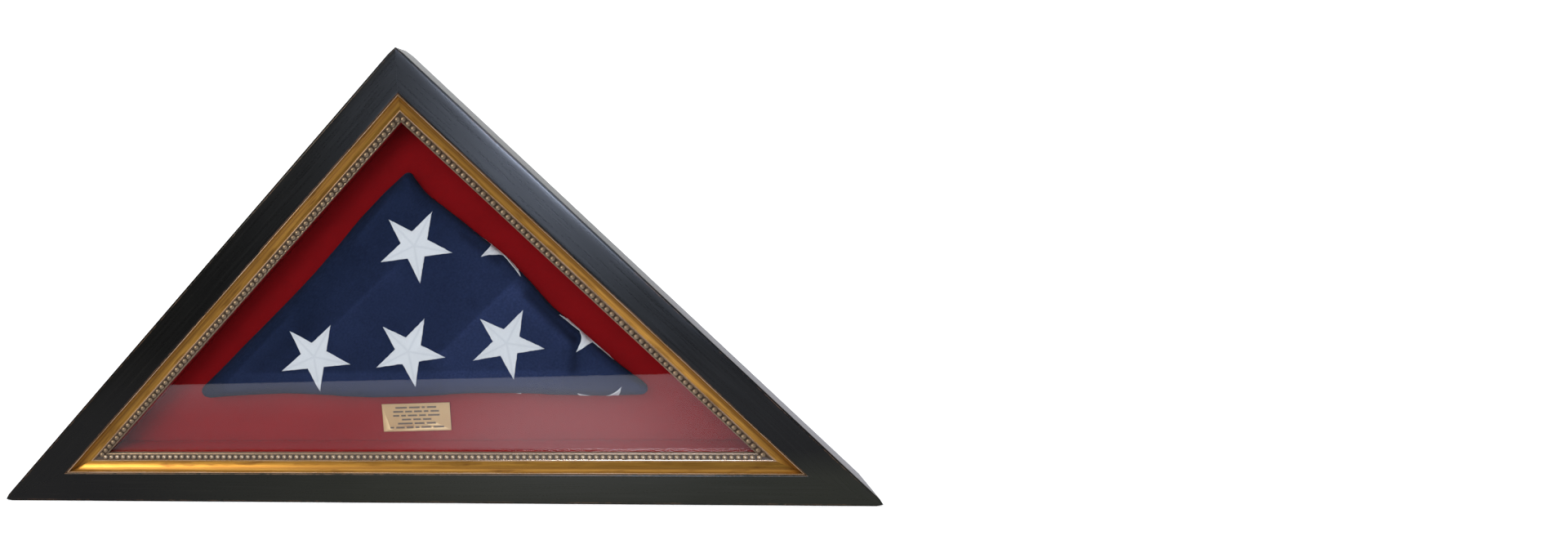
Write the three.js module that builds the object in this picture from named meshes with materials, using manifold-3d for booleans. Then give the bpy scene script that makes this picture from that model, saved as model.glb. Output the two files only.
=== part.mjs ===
// Triangular display case for a folded flag, millimetres.
// X runs to the right, Y from the glass to the wall, Z up. The case stands on z = 0, and the origin is
// the middle of its underside. Three mitred rails carry a gold cove and a beaded fillet; behind the
// fillet come the glass, the cloth-covered liners, the flag on its mount board, and the back panel,
// which six turn buttons hold in the rabbet. Two D-ring hangers and two bumpers are on the back.
import * as THREE from "three";
import { mergeVertices } from "three/addons/utils/BufferGeometryUtils.js";
import Module from "manifold-3d";

const wasm = await Module();
wasm.setup();

// ---- Driving dimensions ----
const caseWidth = 1100;
const caseDepth = 80;
const gap = 0.3; // left between any two pieces that touch

const blackFace = 38; // widths seen from the front, measured in from the outer edge
const coveFace = 14;
const filletFace = 8.5;
const rabbetInset = 54;

const stepDepth = 13; // from the front down to the shelf that carries the cove and the fillet
const lipThickness = 4.4; // part of the fillet that overhangs the glass
const glassThickness = 2.5;
const clothThickness = 0.8;
const boardThickness = 8;
const panelThickness = 6;
const panelSetback = 0.6; // the panel lies this far under the back of the rails
const linerThickness = 4;

const flagWidth = 574; // the folded flag's long edge, out to the sharp corners
const flagThickness = 32;
const flagBase = 126; // height of that edge above the underside
const flagCornerRadius = 8;
const flagRounding = 6; // rounding of its front and back edges

const plaqueWidth = 88;
const plaqueHeight = 37;
const plaqueThickness = 1.2;
const plaqueCentre = new THREE.Vector2(-8, 90);
const plaqueTilt = THREE.MathUtils.degToRad(1.3); // stuck on slightly askew, right side up

// ---- Derived places ----
const caseHeight = caseWidth / 2; // the apex is a right angle, the two base corners are 45 degrees
const frontY = -caseDepth / 2;
const backY = caseDepth / 2;
const stepY = frontY + stepDepth;
const coveInset = blackFace + coveFace;
const sightInset = coveInset + filletFace;
const glassFrontY = stepY + lipThickness + gap;
const glassBackY = glassFrontY + glassThickness;
const panelBackY = backY - panelSetback;
const panelFrontY = panelBackY - panelThickness;
const boardBackY = panelFrontY - gap;
const boardFrontY = boardBackY - boardThickness;
const clothBackY = boardFrontY - gap;
const clothFrontY = clothBackY - clothThickness;
const sheetInset = rabbetInset + 0.8; // glass, board and panel sit in the rabbet with this clearance

// ---- Finishes ----
function finish(color, roughness, metalness) {
  return new THREE.MeshStandardMaterial({ color, roughness, metalness });
}
const blackLacquer = finish(0x201f1c, 0.4, 0);
const goldLeaf = finish(0xb5853a, 0.35, 0.9);
const pewterLeaf = finish(0x8c7c6c, 0.4, 0.8);
const clearGlass = new THREE.MeshStandardMaterial({
  color: 0xe8f0ee,
  roughness: 0.05,
  metalness: 0,
  transparent: true,
  opacity: 0.25,
});
const redCloth = finish(0x7d080f, 0.95, 0);
const foamBoard = finish(0xdcd6c8, 0.8, 0);
const navyCotton = finish(0x1e2855, 0.9, 0);
const hookTape = finish(0x1c1c20, 0.9, 0);
const brassPlate = finish(0xbea078, 0.35, 1);
const clearTape = finish(0xb8b4a8, 0.6, 0);
const panelBoard = finish(0x7a5a3c, 0.75, 0);
const zincSteel = finish(0xa8a8a4, 0.35, 1);
const brassedSteel = finish(0xb08d4a, 0.35, 1);
const bumperRubber = finish(0x2a2a2a, 0.8, 0);

// ---- Solids: closed geometries joined and cut with manifold-3d ----
function toSolid(geometry) {
  const bare = geometry.clone();
  bare.deleteAttribute("normal");
  bare.deleteAttribute("uv");
  const merged = mergeVertices(bare, 1e-4);
  return new wasm.Manifold(
    new wasm.Mesh({
      numProp: 3,
      vertProperties: merged.attributes.position.array,
      triVerts: new Uint32Array(merged.index.array),
    }),
  );
}

function toGeometry(solid) {
  const mesh = solid.getMesh();
  const geometry = new THREE.BufferGeometry();
  geometry.setAttribute("position", new THREE.BufferAttribute(mesh.vertProperties, 3));
  geometry.setIndex(new THREE.BufferAttribute(mesh.triVerts, 1));
  return geometry;
}

function cut(geometry, tools) {
  const whole = tools.reduce((rest, tool) => rest.subtract(toSolid(tool)), toSolid(geometry));
  return toGeometry(whole);
}

// A round bar along local Z, from z = low to z = high.
function roundBar(radius, low, high, sides = 24) {
  const bar = new THREE.CylinderGeometry(radius, radius, high - low, sides);
  return bar.rotateX(Math.PI / 2).translate(0, 0, (low + high) / 2);
}

// ---- The case's triangle ----
const halfBaseAngle = Math.PI / 8;
const halfApexAngle = Math.PI / 4;

// The corner of the outline moved in by an inset on every side, as (x, z).
function cornerPoint(corner, inset) {
  if (corner === "apex") {
    return new THREE.Vector2(0, caseHeight - inset / Math.sin(halfApexAngle));
  }
  const side = corner === "left" ? -1 : 1;
  return new THREE.Vector2(side * (caseWidth / 2 - inset / Math.tan(halfBaseAngle)), inset);
}

// The rails, each run clockwise as seen from the front.
const rails = {
  bottom: { from: "right", to: "left" },
  left: { from: "left", to: "apex" },
  right: { from: "apex", to: "right" },
};

// How far a stick stops short of its mitre, so that two sticks meet with the usual gap.
function mitreRelief(corner) {
  const halfAngle = corner === "apex" ? halfApexAngle : halfBaseAngle;
  return gap / 2 / Math.sin(halfAngle);
}

// A moulding section, drawn as (inset, y), run along a rail and cut to its mitres.
function mitredStick(section, rail) {
  const geometry = new THREE.ExtrudeGeometry(section, {
    depth: 1,
    bevelEnabled: false,
    curveSegments: 6,
  });
  const position = geometry.getAttribute("position");
  for (let i = 0; i < position.count; i++) {
    const inset = position.getX(i);
    const start = cornerPoint(rail.from, inset);
    const end = cornerPoint(rail.to, inset);
    const along = end.clone().sub(start).normalize();
    start.addScaledVector(along, mitreRelief(rail.from));
    end.addScaledVector(along, -mitreRelief(rail.to));
    const point = start.lerp(end, position.getZ(i));
    position.setXYZ(i, point.x, position.getY(i), point.y);
  }
  return geometry;
}

// A place on the back of a rail: local X along the rail, local Y towards the opening, local Z out of
// the back. The share runs from 0 to 1 along the outer edge.
function railPlace(rail, share, inset, y) {
  const outerStart = cornerPoint(rail.from, 0);
  const outerEnd = cornerPoint(rail.to, 0);
  const along = outerEnd.clone().sub(outerStart).normalize();
  const inward = new THREE.Vector2(along.y, -along.x);
  const point = outerStart.lerp(outerEnd, share).addScaledVector(inward, inset);
  return new THREE.Matrix4()
    .makeBasis(
      new THREE.Vector3(along.x, 0, along.y),
      new THREE.Vector3(inward.x, 0, inward.y),
      new THREE.Vector3(0, 1, 0),
    )
    .setPosition(point.x, y, point.y);
}

// A flat triangular sheet, parallel to the glass, between two depths.
function triangularSheet(inset, nearY, farY) {
  const corners = ["left", "right", "apex"].map((corner) => cornerPoint(corner, inset));
  const sheet = new THREE.ExtrudeGeometry(new THREE.Shape(corners), {
    depth: farY - nearY,
    bevelEnabled: false,
  });
  return sheet.rotateX(Math.PI / 2).translate(0, farY, 0);
}

// ---- Moulding sections, drawn as (inset, y) ----
const arrisDrop = 1.5; // the outer arris is eased this far back along the side
const arrisEase = 1.2; // and this far in along the face
const shoulderWidth = 8; // the face's outer band falls away towards the arris
const shoulderFall = 0.3;
const innerRound = 1.5;

function outerRailSection() {
  const section = new THREE.Shape();
  section.moveTo(0, backY);
  section.lineTo(0, frontY + arrisDrop);
  section.quadraticCurveTo(0, frontY + shoulderFall, arrisEase, frontY + shoulderFall);
  section.lineTo(shoulderWidth, frontY);
  section.lineTo(blackFace - innerRound, frontY);
  section.quadraticCurveTo(blackFace, frontY, blackFace, frontY + innerRound);
  section.lineTo(blackFace, stepY);
  section.lineTo(rabbetInset, stepY);
  section.lineTo(rabbetInset, backY);
  return section;
}

const coveTopDrop = 1.2; // the cove starts this far behind the black face
const coveFloorDrop = 9.8; // and ends this deep
const boleLine = 0.9; // narrow flats at both edges of the cove

function goldCoveSection() {
  const outer = blackFace + gap;
  const inner = coveInset;
  const topY = frontY + coveTopDrop;
  const floorY = frontY + coveFloorDrop;
  const section = new THREE.Shape();
  section.moveTo(outer, stepY - gap);
  section.lineTo(outer, topY);
  section.lineTo(outer + boleLine, topY);
  section.quadraticCurveTo(outer + boleLine + 0.8, floorY, inner - boleLine, floorY);
  section.lineTo(inner - boleLine, floorY - 0.6);
  section.lineTo(inner, floorY - 0.6);
  section.lineTo(inner, stepY - gap);
  return section;
}

const beadRadius = 3.1;
const beadBedDrop = 10.6; // depth of the flat that the beads stand on
const lipDrop = 11.6;

function beadFilletSection() {
  const outer = coveInset + gap;
  const hook = rabbetInset + gap;
  const bedY = frontY + beadBedDrop;
  const beadInset = outer + 0.7 + beadRadius;
  const section = new THREE.Shape();
  section.moveTo(outer, stepY - gap);
  section.lineTo(outer, bedY);
  section.absarc(beadInset, bedY, beadRadius, Math.PI, 2 * Math.PI, false);
  section.lineTo(sightInset - 0.4, frontY + lipDrop);
  section.lineTo(sightInset, frontY + lipDrop + 0.4);
  section.lineTo(sightInset, stepY + lipThickness);
  section.lineTo(hook, stepY + lipThickness);
  section.lineTo(hook, stepY - gap);
  return section;
}

function linerSection() {
  const section = new THREE.Shape();
  const outer = rabbetInset + gap;
  const nearY = glassBackY + gap;
  const farY = clothFrontY - gap;
  section.moveTo(outer, nearY);
  section.lineTo(outer + linerThickness, nearY);
  section.lineTo(outer + linerThickness, farY);
  section.lineTo(outer, farY);
  return section;
}

// ---- Screws, in a frame where the head's underside is z = 0 and the head stands up along Z ----
const shankRadius = 2;
const pilotRadius = 2.4;

function woodScrew(headRadius, headHeight, shankLength) {
  const tip = 5;
  const profile = [
    new THREE.Vector2(0, -shankLength),
    new THREE.Vector2(shankRadius, -shankLength + tip),
    new THREE.Vector2(shankRadius, 0),
    new THREE.Vector2(headRadius, 0),
    new THREE.Vector2(headRadius, headHeight * 0.45),
    new THREE.Vector2(headRadius * 0.75, headHeight * 0.85),
    new THREE.Vector2(0, headHeight),
  ];
  const body = new THREE.LatheGeometry(profile, 16).rotateX(Math.PI / 2);
  const slotWidth = headRadius * 0.28;
  const recess = headHeight * 0.55;
  const arm = new THREE.BoxGeometry(headRadius * 1.15, slotWidth, 2 * recess);
  arm.translate(0, 0, headHeight);
  return cut(body, [arm, arm.clone().rotateZ(Math.PI / 2)]);
}

// ---- Turn buttons ----
const buttonInset = 41; // the pivots, measured in from the outer edge
const buttonThickness = 2;
const buttonHeelRadius = 8;
const buttonNoseRadius = 5;
const buttonReach = 25; // pivot to tip of the nose
const buttonShares = { bottom: [0.25, 0.75], left: [0.3, 0.72], right: [0.28, 0.7] };
const buttonScrew = { headRadius: 4.4, headHeight: 2.4, shankLength: 18 };

function turnButton() {
  const noseCentre = buttonReach - buttonNoseRadius;
  const outline = new THREE.Shape();
  outline.absarc(0, 0, buttonHeelRadius, Math.PI, 2 * Math.PI, false);
  outline.absarc(0, noseCentre, buttonNoseRadius, 0, Math.PI, false);
  outline.holes.push(new THREE.Path().absarc(0, 0, pilotRadius, 0, 2 * Math.PI, false));
  return new THREE.ExtrudeGeometry(outline, {
    depth: buttonThickness,
    bevelEnabled: false,
    curveSegments: 10,
  });
}

// ---- D-ring hangers, in a frame where the strap lies on z = 0 and points along X ----
const strapWidth = 12;
const strapThickness = 1.2;
const ringWire = 1.5; // radius of the ring's wire
const loopInner = ringWire + 0.4;
const loopOuter = loopInner + strapThickness;
const barDistance = 38; // from the strap's free end to the ring's bar
const ringHalfWidth = 10;
const ringArm = 6;
const strapScrewPlaces = [8, 26];
const strapScrew = { headRadius: 3.8, headHeight: 2, shankLength: 16 };
const hangerHeight = 330;
const hangerHalfSpan = 200; // the straps' free ends, either side of the centre line

function hangerStrap() {
  const loopEnd = THREE.MathUtils.degToRad(200);
  const outline = new THREE.Shape();
  outline.moveTo(0, 0);
  outline.absarc(barDistance, loopOuter, loopOuter, -Math.PI / 2, loopEnd, false);
  outline.absarc(barDistance, loopOuter, loopInner, loopEnd, -Math.PI / 2, true);
  outline.lineTo(0, strapThickness);
  const strap = new THREE.ExtrudeGeometry(outline, {
    depth: strapWidth,
    bevelEnabled: false,
    curveSegments: 8,
  });
  strap.rotateX(Math.PI / 2).translate(0, strapWidth / 2, 0);
  const holes = strapScrewPlaces.map((x) =>
    roundBar(pilotRadius, -1, strapThickness + 1).translate(x, 0, 0),
  );
  return cut(strap, holes);
}

// A plane path lifted into space, so that a section can be swept along it.
class PlaneCurve extends THREE.Curve {
  constructor(path) {
    super();
    this.path = path;
  }
  getPoint(share, target = new THREE.Vector3()) {
    const point = this.path.getPoint(share);
    return target.set(point.x, point.y, 0);
  }
}

// The ring about its bar, which lies along Y through the origin; the butt joint is in the bar.
function dRing() {
  const bend = 2.5;
  const path = new THREE.Path();
  path.moveTo(0, gap / 2);
  path.lineTo(0, ringHalfWidth - bend);
  path.quadraticCurveTo(0, ringHalfWidth, bend, ringHalfWidth);
  path.lineTo(ringArm, ringHalfWidth);
  path.absarc(ringArm, 0, ringHalfWidth, Math.PI / 2, -Math.PI / 2, true);
  path.lineTo(bend, -ringHalfWidth);
  path.quadraticCurveTo(0, -ringHalfWidth, 0, -ringHalfWidth + bend);
  path.lineTo(0, -gap / 2);
  const wire = new THREE.Shape().absarc(0, 0, ringWire, 0, 2 * Math.PI, false);
  return new THREE.ExtrudeGeometry(wire, {
    extrudePath: new PlaneCurve(path),
    steps: 44,
    curveSegments: 4,
  });
}

// ---- V-shaped mitre nails, driven into the joints from the back ----
const nailLeg = 9;
const nailSteel = 0.8;
const nailDepth = 10;
const nailInsets = [17, 38];
const nailHalfAngle = THREE.MathUtils.degToRad(35);

function chevron(legLength, thickness) {
  const half = thickness / 2;
  const tip = half / Math.sin(nailHalfAngle);
  const run = new THREE.Vector2(Math.cos(nailHalfAngle), Math.sin(nailHalfAngle));
  const side = new THREE.Vector2(-run.y, run.x);
  const outerEnd = run.clone().multiplyScalar(legLength).addScaledVector(side, half);
  const innerEnd = run.clone().multiplyScalar(legLength).addScaledVector(side, -half);
  return new THREE.Shape([
    new THREE.Vector2(-tip, 0),
    new THREE.Vector2(outerEnd.x, -outerEnd.y),
    new THREE.Vector2(innerEnd.x, -innerEnd.y),
    new THREE.Vector2(tip, 0),
    new THREE.Vector2(innerEnd.x, innerEnd.y),
    new THREE.Vector2(outerEnd.x, outerEnd.y),
  ]);
}

function nailSolid(clearance) {
  return new THREE.ExtrudeGeometry(chevron(nailLeg + clearance, nailSteel + 2 * clearance), {
    depth: nailDepth + 2 * clearance,
    bevelEnabled: false,
  }).translate(0, 0, -nailDepth - clearance);
}

// A nail's place on a mitre: local X runs in along the joint, local Z out of the back.
function nailPlace(corner, inset) {
  const point = cornerPoint(corner, inset);
  const inward = cornerPoint(corner, inset + 1).sub(point).normalize();
  const across = new THREE.Vector2(-inward.y, inward.x);
  return new THREE.Matrix4()
    .makeBasis(
      new THREE.Vector3(inward.x, 0, inward.y),
      new THREE.Vector3(-across.x, 0, -across.y),
      new THREE.Vector3(0, 1, 0),
    )
    .setPosition(point.x, backY - gap, point.y);
}

// ---- The flag, what holds it, and its plaque ----
const padSize = { width: 50, height: 25, thickness: 1.2 };
const padPlaces = {
  top: [0, 340],
  left: [-150, 165],
  right: [150, 165],
};
const padFrontY = clothFrontY - gap - padSize.thickness;
const flagBackY = padFrontY - gap;

function foldedFlag() {
  const core = flagCornerRadius - flagRounding;
  const half = flagWidth / 2 - flagCornerRadius / Math.tan(halfBaseAngle);
  const low = flagBase + flagCornerRadius;
  const high = flagBase + flagWidth / 2 - flagCornerRadius / Math.sin(halfApexAngle);
  const outline = new THREE.Shape();
  outline.absarc(half, low, core, -Math.PI / 2, Math.PI / 4, false);
  outline.absarc(0, high, core, Math.PI / 4, (3 * Math.PI) / 4, false);
  outline.absarc(-half, low, core, (3 * Math.PI) / 4, (3 * Math.PI) / 2, false);
  const flag = new THREE.ExtrudeGeometry(outline, {
    depth: flagThickness - 2 * flagRounding,
    bevelThickness: flagRounding,
    bevelSize: flagRounding,
    bevelSegments: 3,
    curveSegments: 4,
  });
  return flag.rotateX(Math.PI / 2).translate(0, flagBackY - flagRounding, 0);
}

function plaquePlate(width, height, thickness, edge) {
  const outline = new THREE.Shape([
    new THREE.Vector2(-width / 2 + edge, -height / 2 + edge),
    new THREE.Vector2(width / 2 - edge, -height / 2 + edge),
    new THREE.Vector2(width / 2 - edge, height / 2 - edge),
    new THREE.Vector2(-width / 2 + edge, height / 2 - edge),
  ]);
  const plate = new THREE.ExtrudeGeometry(outline, {
    depth: thickness - 2 * edge,
    bevelThickness: edge,
    bevelSize: edge,
    bevelSegments: 1,
  });
  return plate.rotateX(Math.PI / 2).translate(0, thickness - edge, 0);
}

// ---- Wall bumpers ----
const bumperRadius = 6.5;
const bumperHeight = 6;
const bumperPlace = { x: 430, z: 22 };

function wallBumper() {
  const profile = [
    new THREE.Vector2(0, 0),
    new THREE.Vector2(bumperRadius, 0),
    new THREE.Vector2(bumperRadius, bumperHeight * 0.6),
    new THREE.Vector2(bumperRadius * 0.8, bumperHeight),
    new THREE.Vector2(0, bumperHeight),
  ];
  return new THREE.LatheGeometry(profile, 24);
}

// ---- Assembly ----
const displayCase = new THREE.Group();

function add(name, geometry, material, parent = displayCase) {
  const mesh = new THREE.Mesh(geometry, material);
  mesh.name = name;
  parent.add(mesh);
  return mesh;
}

// A group fixed at a place given as a matrix.
function groupAt(matrix) {
  const group = new THREE.Group();
  group.applyMatrix4(matrix);
  displayCase.add(group);
  return group;
}

// Every hole and slot that the rails are drilled with, as geometry in the case's frame.
const railCuts = [];

function addTurnButtons() {
  const button = turnButton();
  const screw = woodScrew(buttonScrew.headRadius, buttonScrew.headHeight, buttonScrew.shankLength);
  const pilot = roundBar(pilotRadius, -buttonScrew.shankLength - gap, 1);
  for (const [side, shares] of Object.entries(buttonShares)) {
    shares.forEach((share, index) => {
      const place = railPlace(rails[side], share, buttonInset, backY + gap);
      const group = groupAt(place);
      add(`turn_button_${side}_${index + 1}`, button, brassedSteel, group);
      const fixing = add(`turn_button_screw_${side}_${index + 1}`, screw, brassedSteel, group);
      fixing.position.z = buttonThickness + gap;
      railCuts.push(pilot.clone().applyMatrix4(place));
    });
  }
}

function addHangers() {
  const strap = hangerStrap();
  const ring = dRing();
  const screw = woodScrew(strapScrew.headRadius, strapScrew.headHeight, strapScrew.shankLength);
  const pilot = roundBar(pilotRadius, -strapScrew.shankLength - gap, 1);
  for (const [side, sign] of [["left", 1], ["right", -1]]) {
    const place = new THREE.Matrix4()
      .makeBasis(
        new THREE.Vector3(sign, 0, 0),
        new THREE.Vector3(0, 0, -sign),
        new THREE.Vector3(0, 1, 0),
      )
      .setPosition(-sign * hangerHalfSpan, backY + gap, hangerHeight);
    const group = groupAt(place);
    add(`hanger_strap_${side}`, strap, zincSteel, group);
    add(`d_ring_${side}`, ring, zincSteel, group).position.set(barDistance, 0, loopOuter);
    strapScrewPlaces.forEach((x, index) => {
      const fixing = add(`hanger_screw_${side}_${index + 1}`, screw, zincSteel, group);
      fixing.position.set(x, 0, strapThickness + gap);
      railCuts.push(pilot.clone().translate(x, 0, 0).applyMatrix4(place));
    });
  }
}

function addMitreNails() {
  const nail = nailSolid(0);
  const slot = nailSolid(gap);
  for (const corner of ["left", "apex", "right"]) {
    nailInsets.forEach((inset, index) => {
      const place = nailPlace(corner, inset);
      add(`mitre_nail_${corner}_${index + 1}`, nail, zincSteel, groupAt(place));
      railCuts.push(slot.clone().applyMatrix4(place));
    });
  }
}

function addMoulding() {
  for (const [side, rail] of Object.entries(rails)) {
    const blank = mitredStick(outerRailSection(), rail);
    add(`outer_rail_${side}`, cut(blank, railCuts), blackLacquer);
    add(`gold_cove_${side}`, mitredStick(goldCoveSection(), rail), goldLeaf);
    add(`bead_fillet_${side}`, mitredStick(beadFilletSection(), rail), pewterLeaf);
    add(`side_liner_${side}`, mitredStick(linerSection(), rail), redCloth);
  }
}

function addSheets() {
  add("glass", triangularSheet(sheetInset, glassFrontY, glassBackY), clearGlass);
  add("mount_cloth", triangularSheet(sheetInset, clothFrontY, clothBackY), redCloth);
  add("mount_board", triangularSheet(sheetInset, boardFrontY, boardBackY), foamBoard);
  add("back_panel", triangularSheet(sheetInset, panelFrontY, panelBackY), panelBoard);
}

function addFlag() {
  add("folded_flag", foldedFlag(), navyCotton);
  for (const [side, [x, z]] of Object.entries(padPlaces)) {
    const pad = new THREE.BoxGeometry(padSize.width, padSize.thickness, padSize.height);
    const mesh = add(`flag_pad_${side}`, pad, hookTape);
    mesh.position.set(x, padFrontY + padSize.thickness / 2, z);
  }
}

function addPlaque() {
  const tapeThickness = 0.8;
  const tapeMargin = 6;
  const plaque = new THREE.Group();
  plaque.position.set(plaqueCentre.x, clothFrontY - gap - tapeThickness, plaqueCentre.y);
  plaque.rotation.y = -plaqueTilt;
  displayCase.add(plaque);
  const tape = new THREE.BoxGeometry(
    plaqueWidth - 2 * tapeMargin,
    tapeThickness,
    plaqueHeight - 2 * tapeMargin,
  );
  add("plaque_tape", tape, clearTape, plaque).position.y = tapeThickness / 2;
  const plate = plaquePlate(plaqueWidth, plaqueHeight, plaqueThickness, 0.3);
  add("plaque", plate, brassPlate, plaque).position.y = -gap - plaqueThickness;
}

function addBumpers() {
  for (const [side, sign] of [["left", -1], ["right", 1]]) {
    const mesh = add(`wall_bumper_${side}`, wallBumper(), bumperRubber);
    mesh.position.set(sign * bumperPlace.x, backY + gap, bumperPlace.z);
  }
}

addTurnButtons();
addHangers();
addMitreNails();
addMoulding();
addSheets();
addFlag();
addPlaque();
addBumpers();

export default displayCase;
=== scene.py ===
"""Looks of the folded flag display case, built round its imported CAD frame.

The row frame is X to the right, Y from the glass to the wall, Z up, with the origin in the middle of
the case's underside. Shapes are worked out in millimetres and made in metres.
"""

import math

import bmesh
import bpy
import numpy as np
from mathutils import Matrix, Vector, noise
from mathutils.bvhtree import BVHTree


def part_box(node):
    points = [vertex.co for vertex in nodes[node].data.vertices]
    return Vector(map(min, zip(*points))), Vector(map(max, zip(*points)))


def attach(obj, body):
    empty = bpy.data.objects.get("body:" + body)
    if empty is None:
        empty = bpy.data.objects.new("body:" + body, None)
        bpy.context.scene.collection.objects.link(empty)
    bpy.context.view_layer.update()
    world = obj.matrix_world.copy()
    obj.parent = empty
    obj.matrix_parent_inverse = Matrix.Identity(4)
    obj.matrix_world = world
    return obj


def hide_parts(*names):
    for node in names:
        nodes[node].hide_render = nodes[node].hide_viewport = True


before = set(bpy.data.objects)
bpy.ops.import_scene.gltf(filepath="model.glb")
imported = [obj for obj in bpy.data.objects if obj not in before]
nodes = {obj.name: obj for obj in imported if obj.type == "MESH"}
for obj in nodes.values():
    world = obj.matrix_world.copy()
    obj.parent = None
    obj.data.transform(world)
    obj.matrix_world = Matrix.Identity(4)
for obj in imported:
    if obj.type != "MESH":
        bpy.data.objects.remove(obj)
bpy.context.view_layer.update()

MM = 0.001

# ---- The case's driving dimensions, as in the CAD ----
CASE_WIDTH = 1100
CASE_HEIGHT = CASE_WIDTH / 2
FRONT = -40
BACK = 40
GAP = 0.3
MITRE_GAP = 0.04
BLACK_FACE = 38
COVE_INNER = 52
SIGHT = 60.5
RABBET = 54
STEP = -27
HALF_ANGLES = {"left": math.pi / 8, "apex": math.pi / 4, "right": math.pi / 8}
RAILS = {"bottom": ("right", "left"), "left": ("left", "apex"), "right": ("apex", "right")}


def directions(start, end):
    """Unit vectors along a line and square to it on its right."""
    along = (end - start).normalized()
    return along, Vector((along.y, -along.x))


def corner_point(corner, inset):
    """The corner of the outline moved in by an inset on every side, as (x, z)."""
    half = HALF_ANGLES[corner]
    if corner == "apex":
        return Vector((0, CASE_HEIGHT - inset / math.sin(half)))
    side = -1 if corner == "left" else 1
    return Vector((side * (CASE_WIDTH / 2 - inset / math.tan(half)), inset))


def rail_line(side, inset):
    """The two ends of a line along a rail, just short of its mitres, as (x, z)."""
    first, last = RAILS[side]
    start, end = corner_point(first, inset), corner_point(last, inset)
    along = (end - start).normalized()
    relief = {corner: MITRE_GAP / 2 / math.sin(HALF_ANGLES[corner]) for corner in (first, last)}
    return start + along * relief[first], end - along * relief[last]


# ---- Node helpers ----
def node(tree, kind, inputs=None, **settings):
    made = tree.nodes.new("ShaderNode" + kind)
    for key, value in settings.items():
        setattr(made, key, value)
    for key, value in (inputs or {}).items():
        if isinstance(value, bpy.types.NodeSocket):
            tree.links.new(value, made.inputs[key])
        else:
            made.inputs[key].default_value = value
    return made


def wire(tree, target, **values):
    """Links each value to the target's socket of that name."""
    for key, value in values.items():
        tree.links.new(value, target.inputs[key.replace("_", " ")])


def new_material(name, kind="BsdfPrincipled", **sockets):
    """A material with one shader, and its tree and shader."""
    material = bpy.data.materials.new(name)
    material.use_nodes = True
    tree = material.node_tree
    tree.nodes.clear()
    shader = node(tree, kind)
    wire(tree, node(tree, "OutputMaterial"), Surface=shader.outputs[0])
    for key, value in sockets.items():
        shader.inputs[key.replace("_", " ")].default_value = value
    return material, tree, shader


def maths(tree, operation, *values):
    return node(tree, "Math", dict(enumerate(values)), operation=operation).outputs[0]


def axis(tree, vector, index):
    """One of the vector's three parts."""
    return node(tree, "SeparateXYZ", {0: vector}).outputs[index]


def place(tree):
    """The point's place in the row frame, in metres."""
    return node(tree, "TexCoord").outputs["Object"]


def notes(tree):
    """What the mesh code wrote on each vertex, as a vector socket and its three parts."""
    vector = node(tree, "Attribute", attribute_name="notes").outputs["Vector"]
    return vector, *node(tree, "SeparateXYZ", {0: vector}).outputs


def speckle(tree, scale, detail=3, rough=0.55, vector=None):
    """Soft noise. The scale is in spots to a metre, or one such number for each axis."""
    vector = vector or place(tree)
    if isinstance(scale, tuple):
        vector = node(tree, "VectorMath", {0: vector, 1: scale}, operation="MULTIPLY").outputs[0]
        scale = 1
    settings = {"Vector": vector, "Scale": scale, "Detail": detail, "Roughness": rough}
    return node(tree, "TexNoise", settings).outputs[0]


def spread(tree, value, low, high, to_low=0.0, to_high=1.0):
    """The value carried from one range to another, held at the ends."""
    sockets = {"Value": value, 1: low, 2: high, 3: to_low, 4: to_high}
    return node(tree, "MapRange", sockets).outputs[0]


def blend_colours(tree, factor, first, second):
    """From the first colour to the second as the factor goes from 0 to 1."""
    ends = {6: first, 7: second}
    inputs = {key: (*value, 1) if isinstance(value, tuple) else value for key, value in ends.items()}
    return node(tree, "Mix", {0: factor, **inputs}, data_type="RGBA").outputs[2]


def bumped(tree, shader, height, strength, distance):
    """Adds a bump of that depth in metres to the shader, over any bump it already has."""
    sockets = {"Height": height, "Strength": strength, "Distance": distance}
    if shader.inputs["Normal"].is_linked:
        sockets["Normal"] = shader.inputs["Normal"].links[0].from_socket
    wire(tree, shader, Normal=node(tree, "Bump", sockets).outputs[0])


def wave(tree, value, pitch):
    """Goes from -1 to 1 and back once in each pitch."""
    return maths(tree, "SINE", maths(tree, "MULTIPLY", value, 2 * math.pi / pitch))


def weave(tree, vector, pitch):
    """Height of a plain weave whose threads run along X and Z, from 0 to 1."""
    across, up = (wave(tree, axis(tree, vector, index), pitch) for index in (0, 2))
    return maths(tree, "MULTIPLY_ADD", maths(tree, "MULTIPLY", across, up), 0.5, 0.5)


# ---- Mesh helpers ----
def tube_faces(rings, size, start=0):
    """Faces of a tube of closed rings of points, which are numbered from start on."""
    lows = range(start, start + (rings - 1) * size, size)
    around = [(i, (i + 1) % size) for i in range(size)]
    return [(low + i, low + j, low + size + j, low + size + i) for low in lows for i, j in around]


def fan_faces(middle, first, size):
    """Triangles from a middle point to a closed ring of points, which are numbered from first on."""
    return [(middle, first + i, first + (i + 1) % size) for i in range(size)]


def flipped(faces):
    """The same faces, turned to look the other way."""
    return [face[::-1] for face in faces]


def ring_points(radius, count):
    """Points of a full circle about the origin."""
    angles = [2 * math.pi * i / count for i in range(count)]
    return [(radius * math.cos(a), radius * math.sin(a)) for a in angles]


def write_notes(mesh, marks):
    """Three numbers on each vertex, which the materials read."""
    layer = mesh.attributes.new("notes", "FLOAT_VECTOR", "POINT")
    layer.data.foreach_set("vector", np.array(marks, np.float32).ravel())


def shade(mesh, sharp):
    """Smooth, with its edges sharp from that angle on."""
    mesh.shade_smooth()
    mesh.set_sharp_from_angle(angle=math.radians(sharp))


def front_of(name):
    """A move to the middle of a CAD node's front."""
    low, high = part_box(name)
    middle = (low + high) / 2
    return Matrix.Translation((middle.x, low.y, middle.z))


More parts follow.
